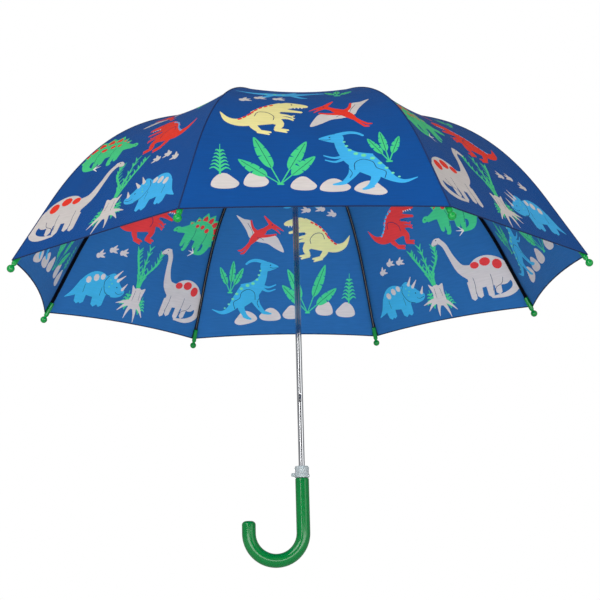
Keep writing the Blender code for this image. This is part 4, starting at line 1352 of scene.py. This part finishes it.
def make_strap():
    """The closing strap on the rear gore: a stitched band with a round free end and a snap."""
    k = 1 + RIB_COUNT // 2
    azimuth = gore_azimuth(k)
    vs = np.linspace(STRAP_ABOVE_HEM, STRAP_ABOVE_HEM + STRAP_LENGTH, 41)
    half = STRAP_WIDTH / 2
    rows, below, places = [], [], []
    for v in vs:
        from_end = v - vs[0]
        share = math.sqrt(max(1 - (1 - from_end / half) ** 2, 0.02)) if from_end < half else 1.0
        xs = np.linspace(-half * share, half * share, 7)
        lift = 0.0007 + 0.0006 * math.sin(math.pi * from_end / STRAP_LENGTH)
        rows.append(on_gore(xs, np.full(7, v), -lift - 0.0009))
        below.append(on_gore(xs, np.full(7, v), -lift))
        places.append([(float(x), float(v)) for x in xs])
    made = strip("strap_band", np.array(rows), np.array(below), np.array(places), azimuth, STRAP)
    made.data.set_sharp_from_angle(angle=math.radians(50))
    snap_v = STRAP_ABOVE_HEM + SNAP_PLACE
    spot_point = turn(on_gore(0.0, snap_v, -0.0022), azimuth)
    normal = turn(gore_normals(np.array([0.0]), np.array([snap_v]))[0], azimuth)
    dome = [(0, 0.0012), (0.0022, 0.0012), (0.0034, 0.0006), (0.0046, 0.0005), (SNAP_RADIUS, 0.0),
            (SNAP_RADIUS, -0.0008), (0, -0.0008)]
    snap = turned("strap_snap", rounded(dome, 0.0004), WIRE, 36)
    spin = Vector((0, 0, 1)).rotation_difference(Vector(normal)).to_matrix().to_4x4()
    snap.data.transform(Matrix.Translation(Vector(spot_point)) @ spin)
    fit(made, f"gore_{k}_lower", "blue_fabric", "closure_strap")
    fit(snap, f"gore_{k}_lower", "wire")


# ---- Room, light and camera ----


def make_stage():
    signs = ((-1, -1), (1, -1), (1, 1), (-1, 1))
    corners = [(FLOOR_HALF * x, FLOOR_HALF * y, FLOOR_LEVEL) for x, y in signs]
    floor = add_object("floor", corners, [(0, 1, 2, 3)], [])
    n = Nodes("floor_pale")
    n.link(n.shade((0.86, 0.86, 0.86), n.noise(2.0), 0.98, 1.02), "Base Color")
    n.set(Roughness=0.9)
    floor.data.materials.append(n.material)


def make_world():
    """White behind the object, and a soft room for light and reflections: bright above, dimmer at
    the horizon, with dark and bright bands in front."""
    world = bpy.data.worlds.new("room")
    bpy.context.scene.world = world
    world.use_nodes = True
    n = Graph(world.node_tree)
    n.tree.nodes.clear()
    place = n.add("ShaderNodeTexCoord").outputs["Generated"]
    level = n.add("ShaderNodeSeparateXYZ", {0: place}).outputs[2]
    height = n.add("ShaderNodeMapRange", {0: level, 1: -1.0}).outputs[0]
    sky = n.ramp(height, [(0, (0.80, 0.80, 0.80, 1)), (0.55, (0.62, 0.63, 0.65, 1)), (1, (1, 1, 1, 1))])
    round_about = n.add("ShaderNodeTexGradient", {0: place}, gradient_type="RADIAL").outputs[1]
    stops = ((0, 1.0), (0.17, 1.0), (0.20, 0.32), (0.235, 0.36), (0.25, 1.15), (0.265, 1.15), (0.28, 0.3),
             (0.33, 0.35), (0.37, 1.0), (1, 1.0))
    bands = n.ramp(round_about, [(where, (value, value, value, 1)) for where, value in stops])
    product = n.add("ShaderNodeMix", data_type="RGBA", blend_type="MULTIPLY")
    product.inputs[0].default_value = 1.0
    n.tree.links.new(sky, product.inputs[6])
    n.tree.links.new(bands, product.inputs[7])
    room = n.add("ShaderNodeBackground", {0: product.outputs[2], 1: WORLD_LIGHT}).outputs[0]
    white = n.add("ShaderNodeBackground", {0: (1, 1, 1, 1)}).outputs[0]
    camera_ray = n.add("ShaderNodeLightPath").outputs["Is Camera Ray"]
    mixed = n.add("ShaderNodeMixShader", {0: camera_ray, 1: room, 2: white}).outputs[0]
    n.add("ShaderNodeOutputWorld", {0: mixed})


def add_light(name, place, aim, size, power):
    data = bpy.data.lights.new(name, "AREA")
    data.shape = "RECTANGLE"
    data.size, data.size_y = size
    data.energy = power
    light = bpy.data.objects.new(name, data)
    light.location = place
    light.rotation_euler = (Vector(aim) - Vector(place)).to_track_quat("-Z", "Y").to_euler()
    bpy.context.scene.collection.objects.link(light)


def make_lights():
    middle = (0, 0, 0.35)
    add_light("key", (-1.6, -2.2, 1.6), middle, (1.4, 1.4), 31)
    add_light("strip", (-1.1, -1.9, 0.0), (0, 0, 0.0), (0.16, 1.8), 9)
    add_light("fill", (1.8, -1.6, 0.2), middle, (1.2, 1.6), 9)
    add_light("under", (0.1, -1.2, -0.2), (0, 0.15, 0.4), (1.6, 0.5), 13)


def make_camera():
    """Level with the handle, a little left of the front, looking up at the canopy's hem."""
    data = bpy.data.cameras.new("camera")
    data.lens = 77.57
    data.sensor_width = 36
    camera = bpy.data.objects.new("camera", data)
    camera.location = (-0.0957, -1.5717, -0.1074)
    camera.rotation_euler = [math.radians(a) for a in (102.920, 1.443, -3.265)]
    bpy.context.scene.collection.objects.link(camera)
    bpy.context.scene.camera = camera


bpy.context.scene.view_settings.view_transform = "Standard"
make_ribs()
make_gores()
make_seams()
make_tips()
make_stretchers()
make_shaft()
make_crown()
make_handle()
make_collar()
make_strap()
make_stage()
make_world()
make_lights()
make_camera()
